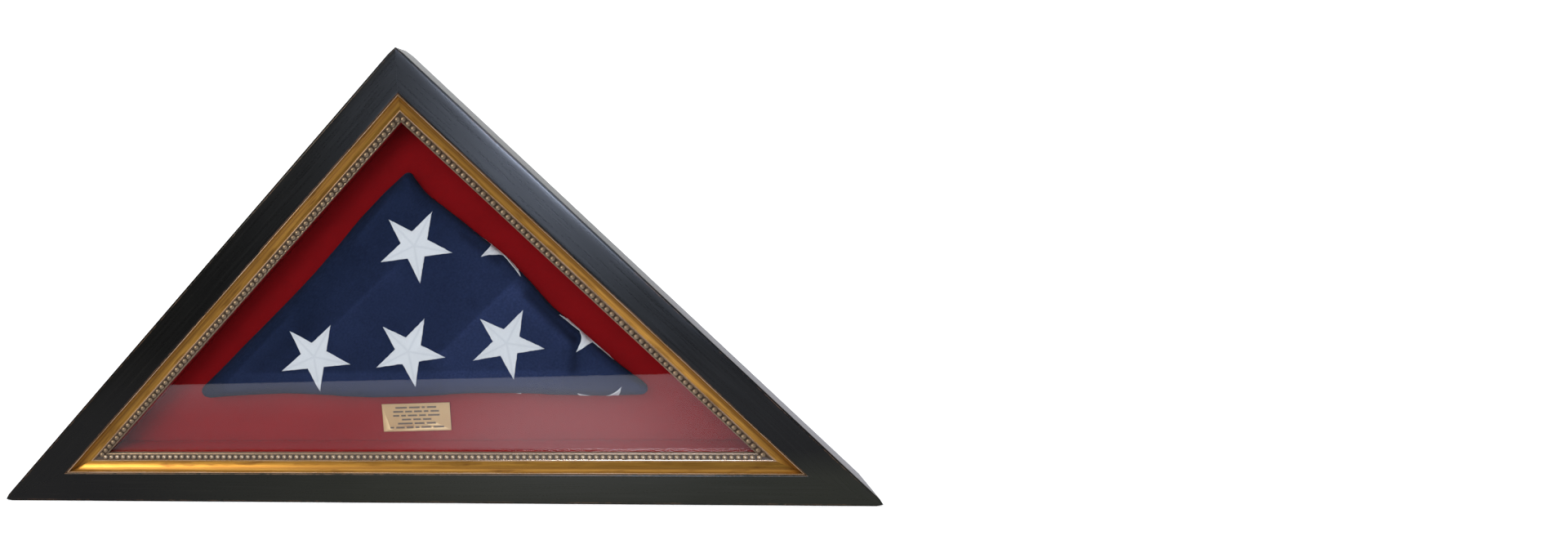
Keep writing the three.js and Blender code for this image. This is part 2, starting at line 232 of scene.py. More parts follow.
def new_piece(name, points, faces, marks=None, sharp=35):
    """A smooth-shaded mesh object from points in millimetres, with any marks on its vertices."""
    mesh = bpy.data.meshes.new(name)
    mesh.from_pydata([(x * MM, y * MM, z * MM) for x, y, z in points], [], faces)
    if marks is not None:
        write_notes(mesh, marks)
    shade(mesh, sharp)
    return new_object(mesh, name)


def new_object(data, name, matrix=Matrix()):
    """An object that holds this mesh, lamp or camera, in a place of its own."""
    piece = bpy.data.objects.new(name, data)
    piece.matrix_world = matrix
    bpy.context.scene.collection.objects.link(piece)
    return piece


def mesh_of(piece):
    """A piece's mesh, once its object is taken away."""
    mesh = piece.data
    bpy.data.objects.remove(piece)
    return mesh


def settle(piece, material, stands_for=None, body="case"):
    """Gives a piece its material, hides any CAD node that it stands for, and hangs it on the body that it
    rides on.
    """
    piece.data.materials.append(material)
    if stands_for:
        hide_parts(stands_for)
    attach(piece, body)


def depth_of(name):
    """Where a CAD node's front and its back lie, in millimetres."""
    return [corner.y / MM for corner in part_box(name)]


def baked(piece, sharp=None):
    """The piece with its modifiers applied, and its edges sharp from any given angle on."""
    graph = bpy.context.evaluated_depsgraph_get()
    mesh = bpy.data.meshes.new_from_object(piece.evaluated_get(graph))
    piece.modifiers.clear()
    piece.data = mesh
    if sharp:
        shade(mesh, sharp)
    return piece


def cut_out(piece, cutter, sharp=None):
    """The piece less a cutter, which is used up. No material slot is left on the piece."""
    cut = piece.modifiers.new("cut", "BOOLEAN")
    cut.object = cutter
    cut.solver = "EXACT"
    bpy.context.view_layer.update()
    baked(piece, sharp)
    bpy.data.objects.remove(cutter)
    piece.data.materials.clear()


def bevelled(piece, width, segments=2):
    modifier = piece.modifiers.new("bevel", "BEVEL")
    modifier.width = width * MM
    modifier.segments = segments
    modifier.limit_method = "ANGLE"
    modifier.harden_normals = True
    return piece


def bend_points(start, control, end, count):
    """Points of a quadratic curve, without its start."""
    steps = [(i + 1) / count for i in range(count)]
    start, control, end = Vector(start), Vector(control), Vector(end)
    return [tuple((1 - t) ** 2 * start + 2 * t * (1 - t) * control + t * t * end) for t in steps]


def arc_points(centre, radius, first, last, count):
    """Points of an arc, both ends included, angles in degrees."""
    angles = [math.radians(first + (last - first) * i / count) for i in range(count + 1)]
    return [(centre[0] + radius * math.cos(a), centre[1] + radius * math.sin(a)) for a in angles]


def straight_points(start, end, count):
    """Points of a straight stretch, without its start."""
    return [tuple(Vector(start).lerp(Vector(end), (i + 1) / count)) for i in range(count)]


# ---- Camera, lights and studio ----
VIEW_PLACE = (0.180, -1.107, 0.4765)
VIEW_YAW = 7.2
VIEW_PITCH = -10.05
VIEW_ROLL = -2.62
FOCAL_SHARE = 0.5935  # focal length as a share of the picture's width
SHIFT = 0.2161  # the case stands left of the middle


def add_camera():
    data = bpy.data.cameras.new("camera")
    data.sensor_width = 36
    data.lens = FOCAL_SHARE * data.sensor_width
    data.shift_x = SHIFT
    data.clip_start = 0.05
    at = Matrix.Translation(VIEW_PLACE)
    for angle, about in ((VIEW_YAW, "Z"), (90 + VIEW_PITCH, "X"), (VIEW_ROLL, "Z")):
        at = at @ Matrix.Rotation(math.radians(angle), 4, about)
    bpy.context.scene.camera = new_object(data, "camera", at)


def add_softbox(name, source, target, size, power, colour, **rays):
    """A square or oblong lamp, seen only by the named kinds of ray, which are diffuse and glossy."""
    data = bpy.data.lights.new(name, "AREA")
    data.shape = "RECTANGLE"
    data.size, data.size_y = size
    data.energy = power
    data.color = colour
    light = new_object(data, name)
    light.location = source
    for ray in ("diffuse", "glossy"):
        setattr(light, "visible_" + ray, rays.get(ray, False))
    aim = Vector(target) - Vector(source)
    light.rotation_euler = aim.to_track_quat("-Z", "Y").to_euler()
    return light


def add_lights():
    """A soft key from the front, a warm glint on the left and a window's cool sheen, which is returned."""
    white, warm, cool = (1.0, 0.98, 0.96), (1.0, 0.90, 0.72), (0.68, 0.78, 1.0)
    key, glint, window = (-0.5, -2.9, 1.25), (-1.15, -1.0, 1.0), (0.45, -2.2, 0.66)
    add_softbox("key_light", key, (0, 0, 0.25), (1.6, 1.2), 40, white, diffuse=True)
    add_softbox("warm_glint", glint, (-0.3, 0, 0.05), (0.4, 0.4), 24, warm, glossy=True)
    return add_softbox("window_sheen", window, (0.14, 0, 0.41), (0.5, 0.5), 84, cool, glossy=True)


def spare(light, names):
    """Keeps a lamp's light off the named pieces."""
    spared = bpy.data.collections.new(light.name + "_spares")
    for name in names:
        spared.objects.link(bpy.data.objects[name])
    light.light_linking.receiver_collection = spared
    for item in spared.collection_objects:
        item.light_linking.link_state = "EXCLUDE"


def add_card(name, points, faces, material, **rays):
    """A surface of the studio, seen only by the named kinds of ray."""
    mesh = bpy.data.meshes.new(name)
    mesh.from_pydata(points, [], faces)
    mesh.shade_smooth()
    mesh.materials.append(material)
    card = new_object(mesh, name)
    for ray in ("camera", "diffuse", "glossy", "transmission", "shadow", "volume_scatter"):
        setattr(card, "visible_" + ray, rays.get(ray, False))


def glow_material(name, colour):
    """A material that only shines, with its tree and its emission."""
    material, tree, glow = new_material(name, kind="Emission")
    glow.inputs["Color"].default_value = (*colour, 1)
    return material, tree, glow


# The card that paints the table top's reflection in the glass glows this much, up to its far edge, with a
# painted pool of light round one place.
TABLE_GLOW = 0.50
TABLE_EDGE = ((-6, -0.288), (6, -0.786))  # the far edge of the pale table, as (x, y)
PAINTED_POOL_PLACE = (0.17, -0.27, 0)
PAINTED_POOL_GLOW = 0.90
PAINTED_POOL_REACH = 0.36


def painted_table_reflection():
    """A painted reflection of a lit table top, on a card that glows and that only glossy rays see: brighter
    towards its far edge and in a painted pool of light round one spot.
    """
    material, tree, glow = glow_material("painted_table_reflection", (0.97, 0.96, 1.05))
    away = axis(tree, place(tree), 1)
    far = spread(tree, away, -0.33, -0.50, 0, 0.30)
    behind = spread(tree, away, -0.02, 0.05, 0, 0.45)
    # Painted pool of light: the glow rises towards this one spot.
    moved = node(tree, "VectorMath", {0: place(tree), 1: PAINTED_POOL_PLACE}, operation="SUBTRACT").outputs[0]
    distance = node(tree, "VectorMath", {0: moved}, operation="LENGTH").outputs["Value"]
    paper = node(tree, "MapRange", {"Value": distance, 1: 0.0, 2: PAINTED_POOL_REACH, 3: PAINTED_POOL_GLOW, 4: 0.0})
    paper.interpolation_type = "SMOOTHERSTEP"
    strength = maths(tree, "ADD", maths(tree, "ADD", far, behind), paper.outputs[0])
    wire(tree, glow, Strength=maths(tree, "ADD", strength, TABLE_GLOW))
    return material


def bowl_mesh():
    """A round floor that curves up into a wall, so that no horizon shows."""
    flat, curve, top, turns = 3.2, 1.6, 5.0, 64
    profile = [(0.5, 0.0), (flat, 0.0)]
    for angle in np.linspace(0.1, math.pi / 2, 14):
        profile.append((flat + curve * math.sin(angle), curve * (1 - math.cos(angle))))
    profile.append((flat + curve, top))
    points = [(0, 0, 0)]
    for radius, height in profile:
        points += [(x, y, height) for x, y in ring_points(radius, turns)]
    return points, fan_faces(0, 1, turns) + flipped(tube_faces(len(profile), turns, 1))


def add_studio():
    """A pale floor, and cards that only glossy rays see, which paint the reflections: a glowing card for a
    pale table top up to its edge, and dark cards for dark surroundings beyond.
    """
    pale, _, shader = new_material("studio_pale", Roughness=0.9, Emission_Strength=0.30)
    shader.inputs["Base Color"].default_value = (0.90, 0.90, 0.90, 1)
    shader.inputs["Emission Color"].default_value = (1, 1, 1, 1)
    # The dark cards are painted reflections of dark surroundings, not lit surfaces.
    black, _, _ = glow_material("studio_black", (0.004, 0.004, 0.005))
    near, far, top = 6, -2.6, 3.2
    (left, left_edge), (right, right_edge) = TABLE_EDGE
    table = [(left, left_edge, 0), (right, right_edge, 0), (right, near, 0), (left, near, 0)]
    beyond = [(left, far, 0), (right, far, 0), (right, right_edge, 0), (left, left_edge, 0)]
    behind = [(left, far, 0), (left, far, top), (right, far, top), (right, far, 0)]
    add_card("floor", *bowl_mesh(), pale, camera=True, transmission=True)
    cards = {"table": (table, painted_table_reflection()), "beyond": (beyond, black), "behind": (behind, black)}
    for name, (points, material) in cards.items():
        add_card("mirrored_" + name, points, [(0, 1, 2, 3)], material, glossy=True)


def add_world():
    """White surroundings, brighter from above than from below, and bright to the eye."""
    world = bpy.data.worlds.new("studio")
    world.use_nodes = True
    bpy.context.scene.world = world
    tree = world.node_tree
    tree.nodes.clear()
    above, below, seen = 1.18, 0.50, 1.2
    height = axis(tree, node(tree, "TexCoord").outputs["Generated"], 2)
    light = spread(tree, height, -0.35, 0.35, below, above)
    camera_ray = node(tree, "LightPath").outputs["Is Camera Ray"]
    strength = node(tree, "Mix", {0: camera_ray, 2: light, 3: seen}).outputs[0]
    light = node(tree, "Background", {"Color": (0.97, 0.985, 1.0, 1), "Strength": strength})
    wire(tree, node(tree, "OutputWorld"), Surface=light.outputs[0])


# ---- Materials ----
def black_lacquer():
    """Satin black over brown wood, brushed along the rail, rubbed through at the arrises, and mixed a
    little towards a pale olive grey low down, more so on the right."""
    material, tree, shader = new_material("black_lacquer", Specular_IOR_Level=0.25)
    vector, _, _, edge = notes(tree)
    streaks = speckle(tree, (9, 330, 0), 2, vector=vector)
    grain = speckle(tree, (260, 700, 0), 3, vector=vector)
    patches = speckle(tree, 14, 4)
    chips = speckle(tree, 160, 5, 0.65)
    field = blend_colours(tree, patches, (0.0018, 0.0018, 0.0015), (0.0052, 0.0052, 0.0043))
    field = blend_colours(tree, spread(tree, streaks, 0.55, 0.75, 0, 0.35), field, (0.011, 0.010, 0.008))
    rub = maths(tree, "ADD", maths(tree, "MULTIPLY", chips, 0.55), maths(tree, "MULTIPLY", patches, 0.45))
    rub = spread(tree, maths(tree, "MULTIPLY", rub, edge), 0.40, 0.52)
    flecks = spread(tree, speckle(tree, 420, 2), 0.73, 0.78, 0, 0.35)
    colour = blend_colours(tree, rub, field, (0.110, 0.055, 0.026))
    colour = blend_colours(tree, flecks, colour, (0.07, 0.06, 0.05))
    # Low down, and more towards the right, the colour is mixed a little towards a pale olive grey.
    low_down = spread(tree, axis(tree, place(tree), 2), 0.070, 0.035)
    to_the_right = spread(tree, axis(tree, place(tree), 0), -0.42, -0.05, 0, 0.16)
    dust = maths(tree, "MULTIPLY", low_down, to_the_right)
    gloss = spread(tree, streaks, 0.35, 0.65, 0.26, 0.30)
    gloss = maths(tree, "ADD", gloss, spread(tree, grain, 0.35, 0.65, 0.0, 0.02))
    wire(
        tree,
        shader,
        Base_Color=blend_colours(tree, dust, colour, (0.072, 0.078, 0.048)),
        Roughness=maths(tree, "MULTIPLY_ADD", rub, 0.15, gloss),
    )
    bumped(tree, shader, streaks, 0.04, 0.0003)
    bumped(tree, shader, chips, 0.10, 0.0002)
    bumped(tree, shader, grain, 0.20, 0.0002)
    return material


def gold_leaf():
    """Burnished leaf with brush marks along the cove, rubbed thin at its edges, where the pale tan mixed in
    on the narrow flats is partly the ground showing through and partly a painted highlight, and toned with
    a brown glaze that has gathered where the wall meets the floor."""
    material, tree, shader = new_material("gold_leaf")
    vector, _, round_it, edge = notes(tree)
    strokes = speckle(tree, (14, 420, 0), 4, 0.6, vector)
    clouds = speckle(tree, (22, 110, 0), 3, vector=vector)
    grain = speckle(tree, 900, 2)
    leaf = blend_colours(tree, spread(tree, strokes, 0.3, 0.7), (0.34, 0.160, 0.025), (0.60, 0.322, 0.060))
    wall = spread(tree, round_it, 0.0150, 0.0185, 0.42, 0.0)
    into, out_of = spread(tree, round_it, 0.0165, 0.0190), spread(tree, round_it, 0.0190, 0.0230, 1, 0)
    hollow = maths(tree, "MULTIPLY", maths(tree, "MINIMUM", into, out_of), 0.85)
    glaze = maths(tree, "MAXIMUM", wall, hollow)
    glaze = maths(tree, "MULTIPLY", glaze, spread(tree, strokes, 0.30, 0.60, 0.55, 1.0))
    glaze = maths(tree, "MAXIMUM", glaze, spread(tree, clouds, 0.49, 0.70, 0, 0.8))
    leaf = blend_colours(tree, glaze, leaf, (0.150, 0.062, 0.013))
    # On the narrow flats at the edges a pale tan is mixed in: partly wear through the leaf, partly a
    # painted highlight.
    pale_mix = maths(tree, "MULTIPLY_ADD", grain, 0.5, maths(tree, "MULTIPLY", strokes, 0.5))
    pale_mix = spread(tree, maths(tree, "MULTIPLY", pale_mix, edge), 0.36, 0.52)
    gloss = maths(tree, "MULTIPLY_ADD", clouds, 0.16, 0.34)
    wire(
        tree,
        shader,
        Base_Color=blend_colours(tree, pale_mix, leaf, (0.50, 0.35, 0.24)),
        Metallic=maths(tree, "MULTIPLY_ADD", pale_mix, -0.45, 0.80),
        Roughness=maths(tree, "MULTIPLY_ADD", pale_mix, 0.18, gloss),
    )
    bumped(tree, shader, strokes, 0.20, 0.0003)
    bumped(tree, shader, grain, 0.10, 0.0001)
    return material


def pewter_leaf():
    """Silvery champagne leaf, rubbed bright on the tops and glazed dark in the hollows."""
    material, tree, shader = new_material("pewter_leaf")
    height = notes(tree)[3]
    grain = speckle(tree, 700)
    lift = maths(tree, "MULTIPLY_ADD", grain, 0.30, maths(tree, "SUBTRACT", height, 0.15))
    bare = spread(tree, lift, 0.12, 0.62)
    leaf = blend_colours(tree, speckle(tree, 45), (0.205, 0.150, 0.100), (0.350, 0.265, 0.180))
    colour = blend_colours(tree, bare, (0.058, 0.035, 0.021), leaf)
    rim = spread(tree, height, 1.05, 1.4)
    polish = maths(tree, "MULTIPLY", rim, 0.2)
    wire(
        tree,
        shader,
        Base_Color=blend_colours(tree, maths(tree, "MULTIPLY", rim, 0.8), colour, (0.33, 0.235, 0.165)),
        Metallic=spread(tree, bare, 0, 1, 0.25, 0.60),
        Roughness=maths(tree, "SUBTRACT", spread(tree, bare, 0, 1, 0.65, 0.44), polish),
    )
    bumped(tree, shader, grain, 0.25, 0.0002)
    return material


def red_cloth(name, lift):
    """Dull red cloth with a short nap, its colour scaled by a factor: above 1 the factor is painted light,
    which makes the cloth paler where shade falls inside the case.
    """
    material, tree, shader = new_material(name, Roughness=0.95, Specular_IOR_Level=0.02)
    nap = speckle(tree, 1100)
    clouds = speckle(tree, (18, 18, 39.6), 4)
    deep = blend_colours(tree, clouds, (0.235, 0.0058, 0.0085), (0.305, 0.0074, 0.0110))
    colour = blend_colours(tree, spread(tree, nap, 0.35, 0.7, 0, 0.4), deep, (0.160, 0.0036, 0.0056))
    # A factor above 1 paints light onto the cloth: the colour is scaled up to lift the shade.
    paler = node(tree, "VectorMath", {0: colour, "Scale": lift}, operation="SCALE")
    wire(tree, shader, Base_Color=paler.outputs[0])
    bumped(tree, shader, weave(tree, place(tree), 0.0011), 0.18, 0.00025)
    bumped(tree, shader, nap, 0.35, 0.0003)
    return material


def flag_cotton():
    """Navy bunting of a fine plain weave, faded in soft clouds, made paler by painted light where noted,
    and darkened by painted shade in the crease hollows and the grooves between layers.
    """
    material, tree, shader = new_material(
        "flag_cotton", Roughness=0.92, Specular_IOR_Level=0.04, Sheen_Weight=0.03, Sheen_Roughness=0.6
    )
    shader.inputs["Sheen Tint"].default_value = (0.55, 0.65, 1.0, 1)
    _, pale, hollow, grooves = notes(tree)
    bias = {0: place(tree), "Angle": math.radians(41)}
    turned = node(tree, "VectorRotate", bias, rotation_type="Y_AXIS").outputs[0]
    slubs = speckle(tree, (190, 190, 1710), vector=turned)
    clouds = speckle(tree, 8, 5, 0.6)
    mottle = speckle(tree, 380)
    # Painted light: the noted paleness lightens the navy, on top of real fading in soft clouds.
    fade_and_painted_light = maths(tree, "MULTIPLY_ADD", pale, 0.6, spread(tree, clouds, 0.3, 0.7, 0, 0.26))
    navy = blend_colours(tree, fade_and_painted_light, (0.0022, 0.0062, 0.021), (0.0300, 0.0455, 0.130))
    navy = blend_colours(tree, spread(tree, mottle, 0.35, 0.7, 0, 0.35), navy, (0.0020, 0.0052, 0.018))
    navy = blend_colours(tree, spread(tree, slubs, 0.45, 0.75, 0, 0.35), navy, (0.022, 0.034, 0.090))
    # Painted shade: darker in the crease hollows and the grooves between the folded layers.
    dark = maths(tree, "MULTIPLY_ADD", grooves, 0.5, maths(tree, "MULTIPLY", hollow, 0.7))
    dark = spread(tree, dark, 0, 1, 0, 0.8)
    wire(tree, shader, Base_Color=blend_colours(tree, dark, navy, (0.0020, 0.0038, 0.013)))
    bumped(tree, shader, weave(tree, turned, 0.0009), 0.30, 0.0003)
    bumped(tree, shader, slubs, 0.25, 0.0003)
    return material


def star_thread():
    """White satin stitching, laid across each arm, with a heavier rim whose edge is darkened by a painted
    shadow.
    """
    material, tree, shader = new_material("star_thread", Roughness=0.6, Specular_IOR_Level=0.35)
    _, share, seam, across = notes(tree)
    stitches = maths(tree, "MULTIPLY_ADD", wave(tree, across, 0.0011), 0.5, 0.5)
    fray = speckle(tree, 500)
    dull = maths(tree, "MULTIPLY", spread(tree, seam, 0.0, 0.0022, 0.35, 0.0), fray)
    # Painted shadow: the thread turns blue-grey towards the star's outer edge.
    rim = maths(tree, "MULTIPLY", spread(tree, share, 0.975, 1.0, 0.0, 0.5), fray)
    white = blend_colours(tree, fray, (0.582, 0.606, 0.678), (0.703, 0.717, 0.790))
    colour = blend_colours(tree, maths(tree, "MAXIMUM", dull, rim), white, (0.20, 0.24, 0.35))
    wire(tree, shader, Base_Color=colour)
    bumped(tree, shader, stitches, 0.35, 0.0003)
    return material


def brushed_brass():
    """Engraving brass, brushed lengthwise and slightly tarnished."""
    material, tree, shader = new_material("plaque_brass", Metallic=0.4)
    brush = speckle(tree, (12, 1, 1500))
    colour = blend_colours(tree, speckle(tree, 60), (0.44, 0.275, 0.12), (0.55, 0.36, 0.17))
    wire(tree, shader, Base_Color=colour, Roughness=spread(tree, brush, 0.2, 0.8, 0.42, 0.58))
    bumped(tree, shader, brush, 0.12, 0.0001)
    return material


def plated_steel(name, dark, light, rough):
    """Plated sheet or wire with cloudy spots and fine scratches."""
    material, tree, shader = new_material(name, Metallic=1.0)
    clouds = speckle(tree, 150, 4)
    colour = blend_colours(tree, clouds, dark, light)
    wire(tree, shader, Base_Color=colour, Roughness=spread(tree, clouds, 0.2, 0.8, rough, rough + 0.22))
    bumped(tree, shader, speckle(tree, (200, 200, 3000)), 0.10, 0.0001)
    return material


def pressed_board():
    """Brown hardboard: short fibres and darker flecks."""
    material, tree, shader = new_material("panel_board", Specular_IOR_Level=0.3)
    fibres = speckle(tree, (160, 1, 520), 5, 0.65)
    crossing = speckle(tree, (560, 1, 140), 4, 0.6)
    tangle = maths(tree, "MULTIPLY", maths(tree, "ADD", fibres, crossing), 0.5)
    brown = blend_colours(tree, speckle(tree, 7), (0.125, 0.062, 0.027), (0.185, 0.098, 0.046))
    colour = blend_colours(tree, spread(tree, tangle, 0.35, 0.68), (0.060, 0.027, 0.011), brown)
    wire(tree, shader, Base_Color=colour, Roughness=spread(tree, tangle, 0.3, 0.7, 0.62, 0.85))
    bumped(tree, shader, tangle, 0.3, 0.0004)
    return material


def grained(name, scale, detail, dark, light, roughness, bump):
    """Fine speckled matter, rougher where it is lighter."""
    material, tree, shader = new_material(name)
    grain = speckle(tree, scale, detail)
    colour = blend_colours(tree, grain, dark, light)
    wire(tree, shader, Base_Color=colour, Roughness=spread(tree, grain, 0, 1, *roughness))
    bumped(tree, shader, grain, bump, 0.0002)
    return material


def dull_rubber(name, dark, light):
    return grained(name, 900, 3, dark, light, (0.60, 0.85), 0.25)


def paper_board():
    """Cream paper over a foam core."""
    return grained("foam_board", 600, 4, (0.66, 0.62, 0.52), (0.76, 0.72, 0.63), (0.75, 0.90), 0.20)


def engraving_enamel():
    """The dark filling of the engraved rules."""
    dark, light = (0.070, 0.042, 0.022), (0.140, 0.092, 0.052)
    return grained("engraving_enamel", 1500, 2, dark, light, (0.45, 0.70), 0.0)


def hook_tape():
    """The fuzzy loops of fastening tape."""
    material, tree, shader = new_material("hook_tape", Roughness=0.95)
    loops = node(tree, "TexVoronoi", {"Vector": place(tree), "Scale": 800}).outputs[0]
    wire(tree, shader, Base_Color=blend_colours(tree, loops, (0.030, 0.030, 0.034), (0.008, 0.008, 0.009)))
    bumped(tree, shader, loops, 0.8, 0.0006)
    return material


def clear_glass():
    """Window glass that lets the lamps through, mirrors more at a slant and carries a little dust."""
    material, tree, mix = new_material("glass", kind="MixShader")
    through = node(tree, "BsdfTransparent", {"Color": (0.985, 0.995, 0.988, 1)})
    smear = spread(tree, speckle(tree, 9, 4), 0.35, 0.75, 0.0, 0.012)
    mirror = node(tree, "BsdfGlossy", {"Color": (1, 1, 1, 1), "Roughness": smear})
    slant = node(tree, "LayerWeight", {"Blend": 0.5}).outputs["Facing"]
    mirrored = maths(tree, "MULTIPLY_ADD", maths(tree, "POWER", slant, 5.0), 0.96, 0.04)
    for index, socket in enumerate((mirrored, through.outputs[0], mirror.outputs[0])):
        tree.links.new(socket, mix.inputs[index])
    return material


# ---- Mouldings ----
RAIL_ORDER = list(RAILS)
TIP_ROUNDING = {"left": 5.0, "apex": 1.75, "right": 5.0}  # how far each falls short of sharp


def worn_tip(point):
    """A point of an outer rail, drawn back where it is close to one of the case's sharp corners."""
    for corner, blunt in TIP_ROUNDING.items():
        tip = corner_point(corner, 0)
        inward = (corner_point(corner, 1) - tip).normalized()
        depth = (point - tip).dot(inward)
        if depth < 2 * blunt:
            soft = blunt + max(depth, 0) ** 2 / (4 * blunt)
            return point + inward * (soft - depth)
    return point


def stick(side, section, marks, spacing, waver=0.0, blunt=False):
    """A closed section of (inset, y) run along a rail between its mitres.

    marks holds one number for each point of the section. The vertices carry the distance along the
    rail, the distance round the section, both in metres, and that number.
    """
    start, end = rail_line(side, 0)
    rings = max(1, round((end - start).length / spacing))
    rail_offset = 10.0 * RAIL_ORDER.index(side)  # so that each rail has a grain of its own
    round_it = [0.0]
    for (a, b), (c, d) in zip(section, section[1:]):
        round_it.append(round_it[-1] + math.hypot(c - a, d - b) * MM)
    points, written = [], []
    for ring in range(rings + 1):
        for (inset, y), way_round, mark in zip(section, round_it, marks):
            first, last = rail_line(side, inset)
            point = first.lerp(last, ring / rings)
            run = ((ring / rings) - 0.5) * (last - first).length * MM
            if waver:
                sway = noise.noise(Vector((point.x * 0.016, y * 0.05, point.y * 0.016 + 7.3)))
                y = y + waver * sway
            if blunt:
                point = worn_tip(point)
            points.append((point.x, y, point.y))
            written.append((run + rail_offset, way_round, mark))
    size = len(section)
    ends = [tuple(range(size - 1, -1, -1)), tuple(rings * size + i for i in range(size))]
    return points, tube_faces(rings + 1, size) + ends, written


def outer_rail_section():
    """Outer arris with a fine groove, a shoulder that falls away a little, a flat face, an inner arris and
    the rabbet."""
    shoulder, fall, groove = 9.0, 0.20, 1.8
    outline = [(0.8, BACK), (0, BACK - 0.8)]
    marks = [0.6, 0.8]
    outline += straight_points((0, BACK - 0.8), (0, FRONT + 1.5), 10)
    marks += [0.15] * 9 + [0.6]
    outline += [(0.1, FRONT + 1.0), (0.35, FRONT + 0.9), (0.6, FRONT + groove), (1.9, FRONT + groove)]
    marks += [1.0, 0.8, 0.0, 0.0]
    outline += [(2.05, FRONT + fall + 0.1), (2.3, FRONT + fall)]
    marks += [0.9, 0.9]
    outline += bend_points((2.3, FRONT + fall), (5.0, FRONT), (shoulder, FRONT), 8)
    marks += [0.6, 0.4, 0.3, 0.25, 0.2, 0.2, 0.2, 0.2]
    outline += straight_points((shoulder, FRONT), (BLACK_FACE - 2.2, FRONT), 10)
    marks += [0.3] + [0.15] * 8 + [0.3]
    outline += arc_points((BLACK_FACE - 1.6, FRONT + 1.6), 1.6, -80, 0, 6)
    marks += [0.5, 0.85, 1.0, 1.0, 0.9, 0.6, 0.3]
    outline += [(BLACK_FACE, STEP), (RABBET, STEP), (RABBET, BACK - 0.6), (RABBET - 0.6, BACK)]
    marks += [0, 0, 0.2, 0.2]
    outline += straight_points((RABBET - 0.6, BACK), (0.8, BACK), 8)[:-1]
    marks += [0.1] * 7
    return outline, marks


def gold_cove_section():
    """A hollow between two narrow flats, steep on the outside and nearly flat inside."""
    outer, inner, back = BLACK_FACE + GAP, COVE_INNER, STEP - GAP
    top, bend, floor = FRONT + 1.2, FRONT + 8.2, FRONT + 10.2
    wall = (outer + 0.95, top + 0.25)
    outline = [(outer, back), (outer, top + 0.3), (outer + 0.25, top), (outer + 0.75, top), wall]
    marks = [0, 0.9, 1.0, 1.0, 0.9]
    outline += bend_points(wall, (outer + 3.2, bend), (inner - 1.0, floor), 18)
    marks += [0.70, 0.55, 0.45, 0.38] + [0.30] * 10 + [0.35, 0.45, 0.6, 0.85]
    outline += [(inner - 0.85, floor - 0.5), (inner - 0.25, floor - 0.6)]
    outline += [(inner, floor - 0.3), (inner, back)]
    marks += [1.0, 1.0, 0.9, 0]
    return outline, marks


BEAD_RADIUS = 3.1
BEAD_BED = FRONT + 10.6
BEAD_PITCH = 7.9
BEAD_UNEVEN = 0.05  # of a bead's size
BEAD_STRAY = 0.12
BEAD_INSET = COVE_INNER + GAP + 0.7 + BEAD_RADIUS
SIGHT_LIP = FRONT + 11.6


def bead_strip_section():
    """The strip that carries the beads: a raised thread outside, a bed, and a rounded lip at the sight
    edge. The marks above 1 are on the thread and the lip."""
    outer, hook, back, lip_back = COVE_INNER + GAP, RABBET + GAP, STEP - GAP, STEP + 4.4
    round_lip = 0.8
    outline = [(outer, back), (outer, BEAD_BED - 0.5), (outer + 0.2, BEAD_BED - 0.8)]
    marks = [0, 1.2, 1.5]
    outline += [(outer + 0.55, BEAD_BED - 0.7), (outer + 0.8, BEAD_BED), (outer + 3.8, BEAD_BED + 0.3)]
    marks += [1.4, 0.0, 0.0]
    outline.append((SIGHT - 2 * round_lip, BEAD_BED + 0.4))
    outline += arc_points((SIGHT - round_lip, SIGHT_LIP + 0.3), round_lip, -150, 0, 7)
    marks += [0.0] + [1.2] * 8
    outline += [(SIGHT, lip_back), (hook, lip_back), (hook, back)]
    marks += [0.3, 0.1, 0.0]
    return outline, marks


def add_outer_rail(side, material):
    made = stick(side, *outer_rail_section(), spacing=12, waver=0.22, blunt=True)
    piece = new_piece("black_rail_" + side, *made, sharp=40)
    settle(piece, material, "outer_rail_" + side)


def add_gold_cove(side, material):
    made = stick(side, *gold_cove_section(), spacing=9, waver=0.25)
    piece = new_piece("gilded_cove_" + side, *made, sharp=50)
    settle(piece, material, "gold_cove_" + side)


def bead(centre, along, inward, radius):
    """One bead as points, faces and heights: a dome a little longer along the rail than across it."""
    turns, levels, longer = 14, 5, 1.04
    points, heights = [], []
    for level in range(levels):
        lift = math.radians(-12 + 90 * level / levels)
        for x, y in ring_points(radius * math.cos(lift), turns):
            out = along * (longer * x) + inward * y
            points.append((centre.x + out.x, BEAD_BED - radius * math.sin(lift), centre.y + out.y))
            heights.append(max(0.0, math.sin(lift)) ** 0.6)
    points.append((centre.x, BEAD_BED - radius, centre.y))
    heights.append(1.0)
    top = levels * turns
    faces = flipped(tube_faces(levels, turns) + fan_faces(top, top - turns, turns))
    return points, [*faces, tuple(range(turns))], heights


def add_bead_fillet(side, material):
    points, faces, written = stick(side, *bead_strip_section(), spacing=14)
    start, end = rail_line(side, BEAD_INSET)
    along, inward = directions(start, end)
    count = int((end - start).length / BEAD_PITCH)
    first = ((end - start).length - (count - 1) * BEAD_PITCH) / 2
    for index in range(count):
        size = 1 + BEAD_UNEVEN * noise.noise(Vector((index * 1.7, RAIL_ORDER.index(side) * 9.1, 0.5)))
        shift = BEAD_STRAY * noise.noise(Vector((index * 2.3, 4.4, RAIL_ORDER.index(side) * 3.7)))
        at = start + along * (first + index * BEAD_PITCH + shift)
        more, bead_faces, heights = bead(at, along, inward, BEAD_RADIUS * size)
        faces += [tuple(len(points) + i for i in face) for face in bead_faces]
        points += more
        written += [(0.0, 0.0, height) for height in heights]
    piece = new_piece("beaded_fillet_" + side, points, faces, written, sharp=50)
    settle(piece, material, "bead_fillet_" + side)


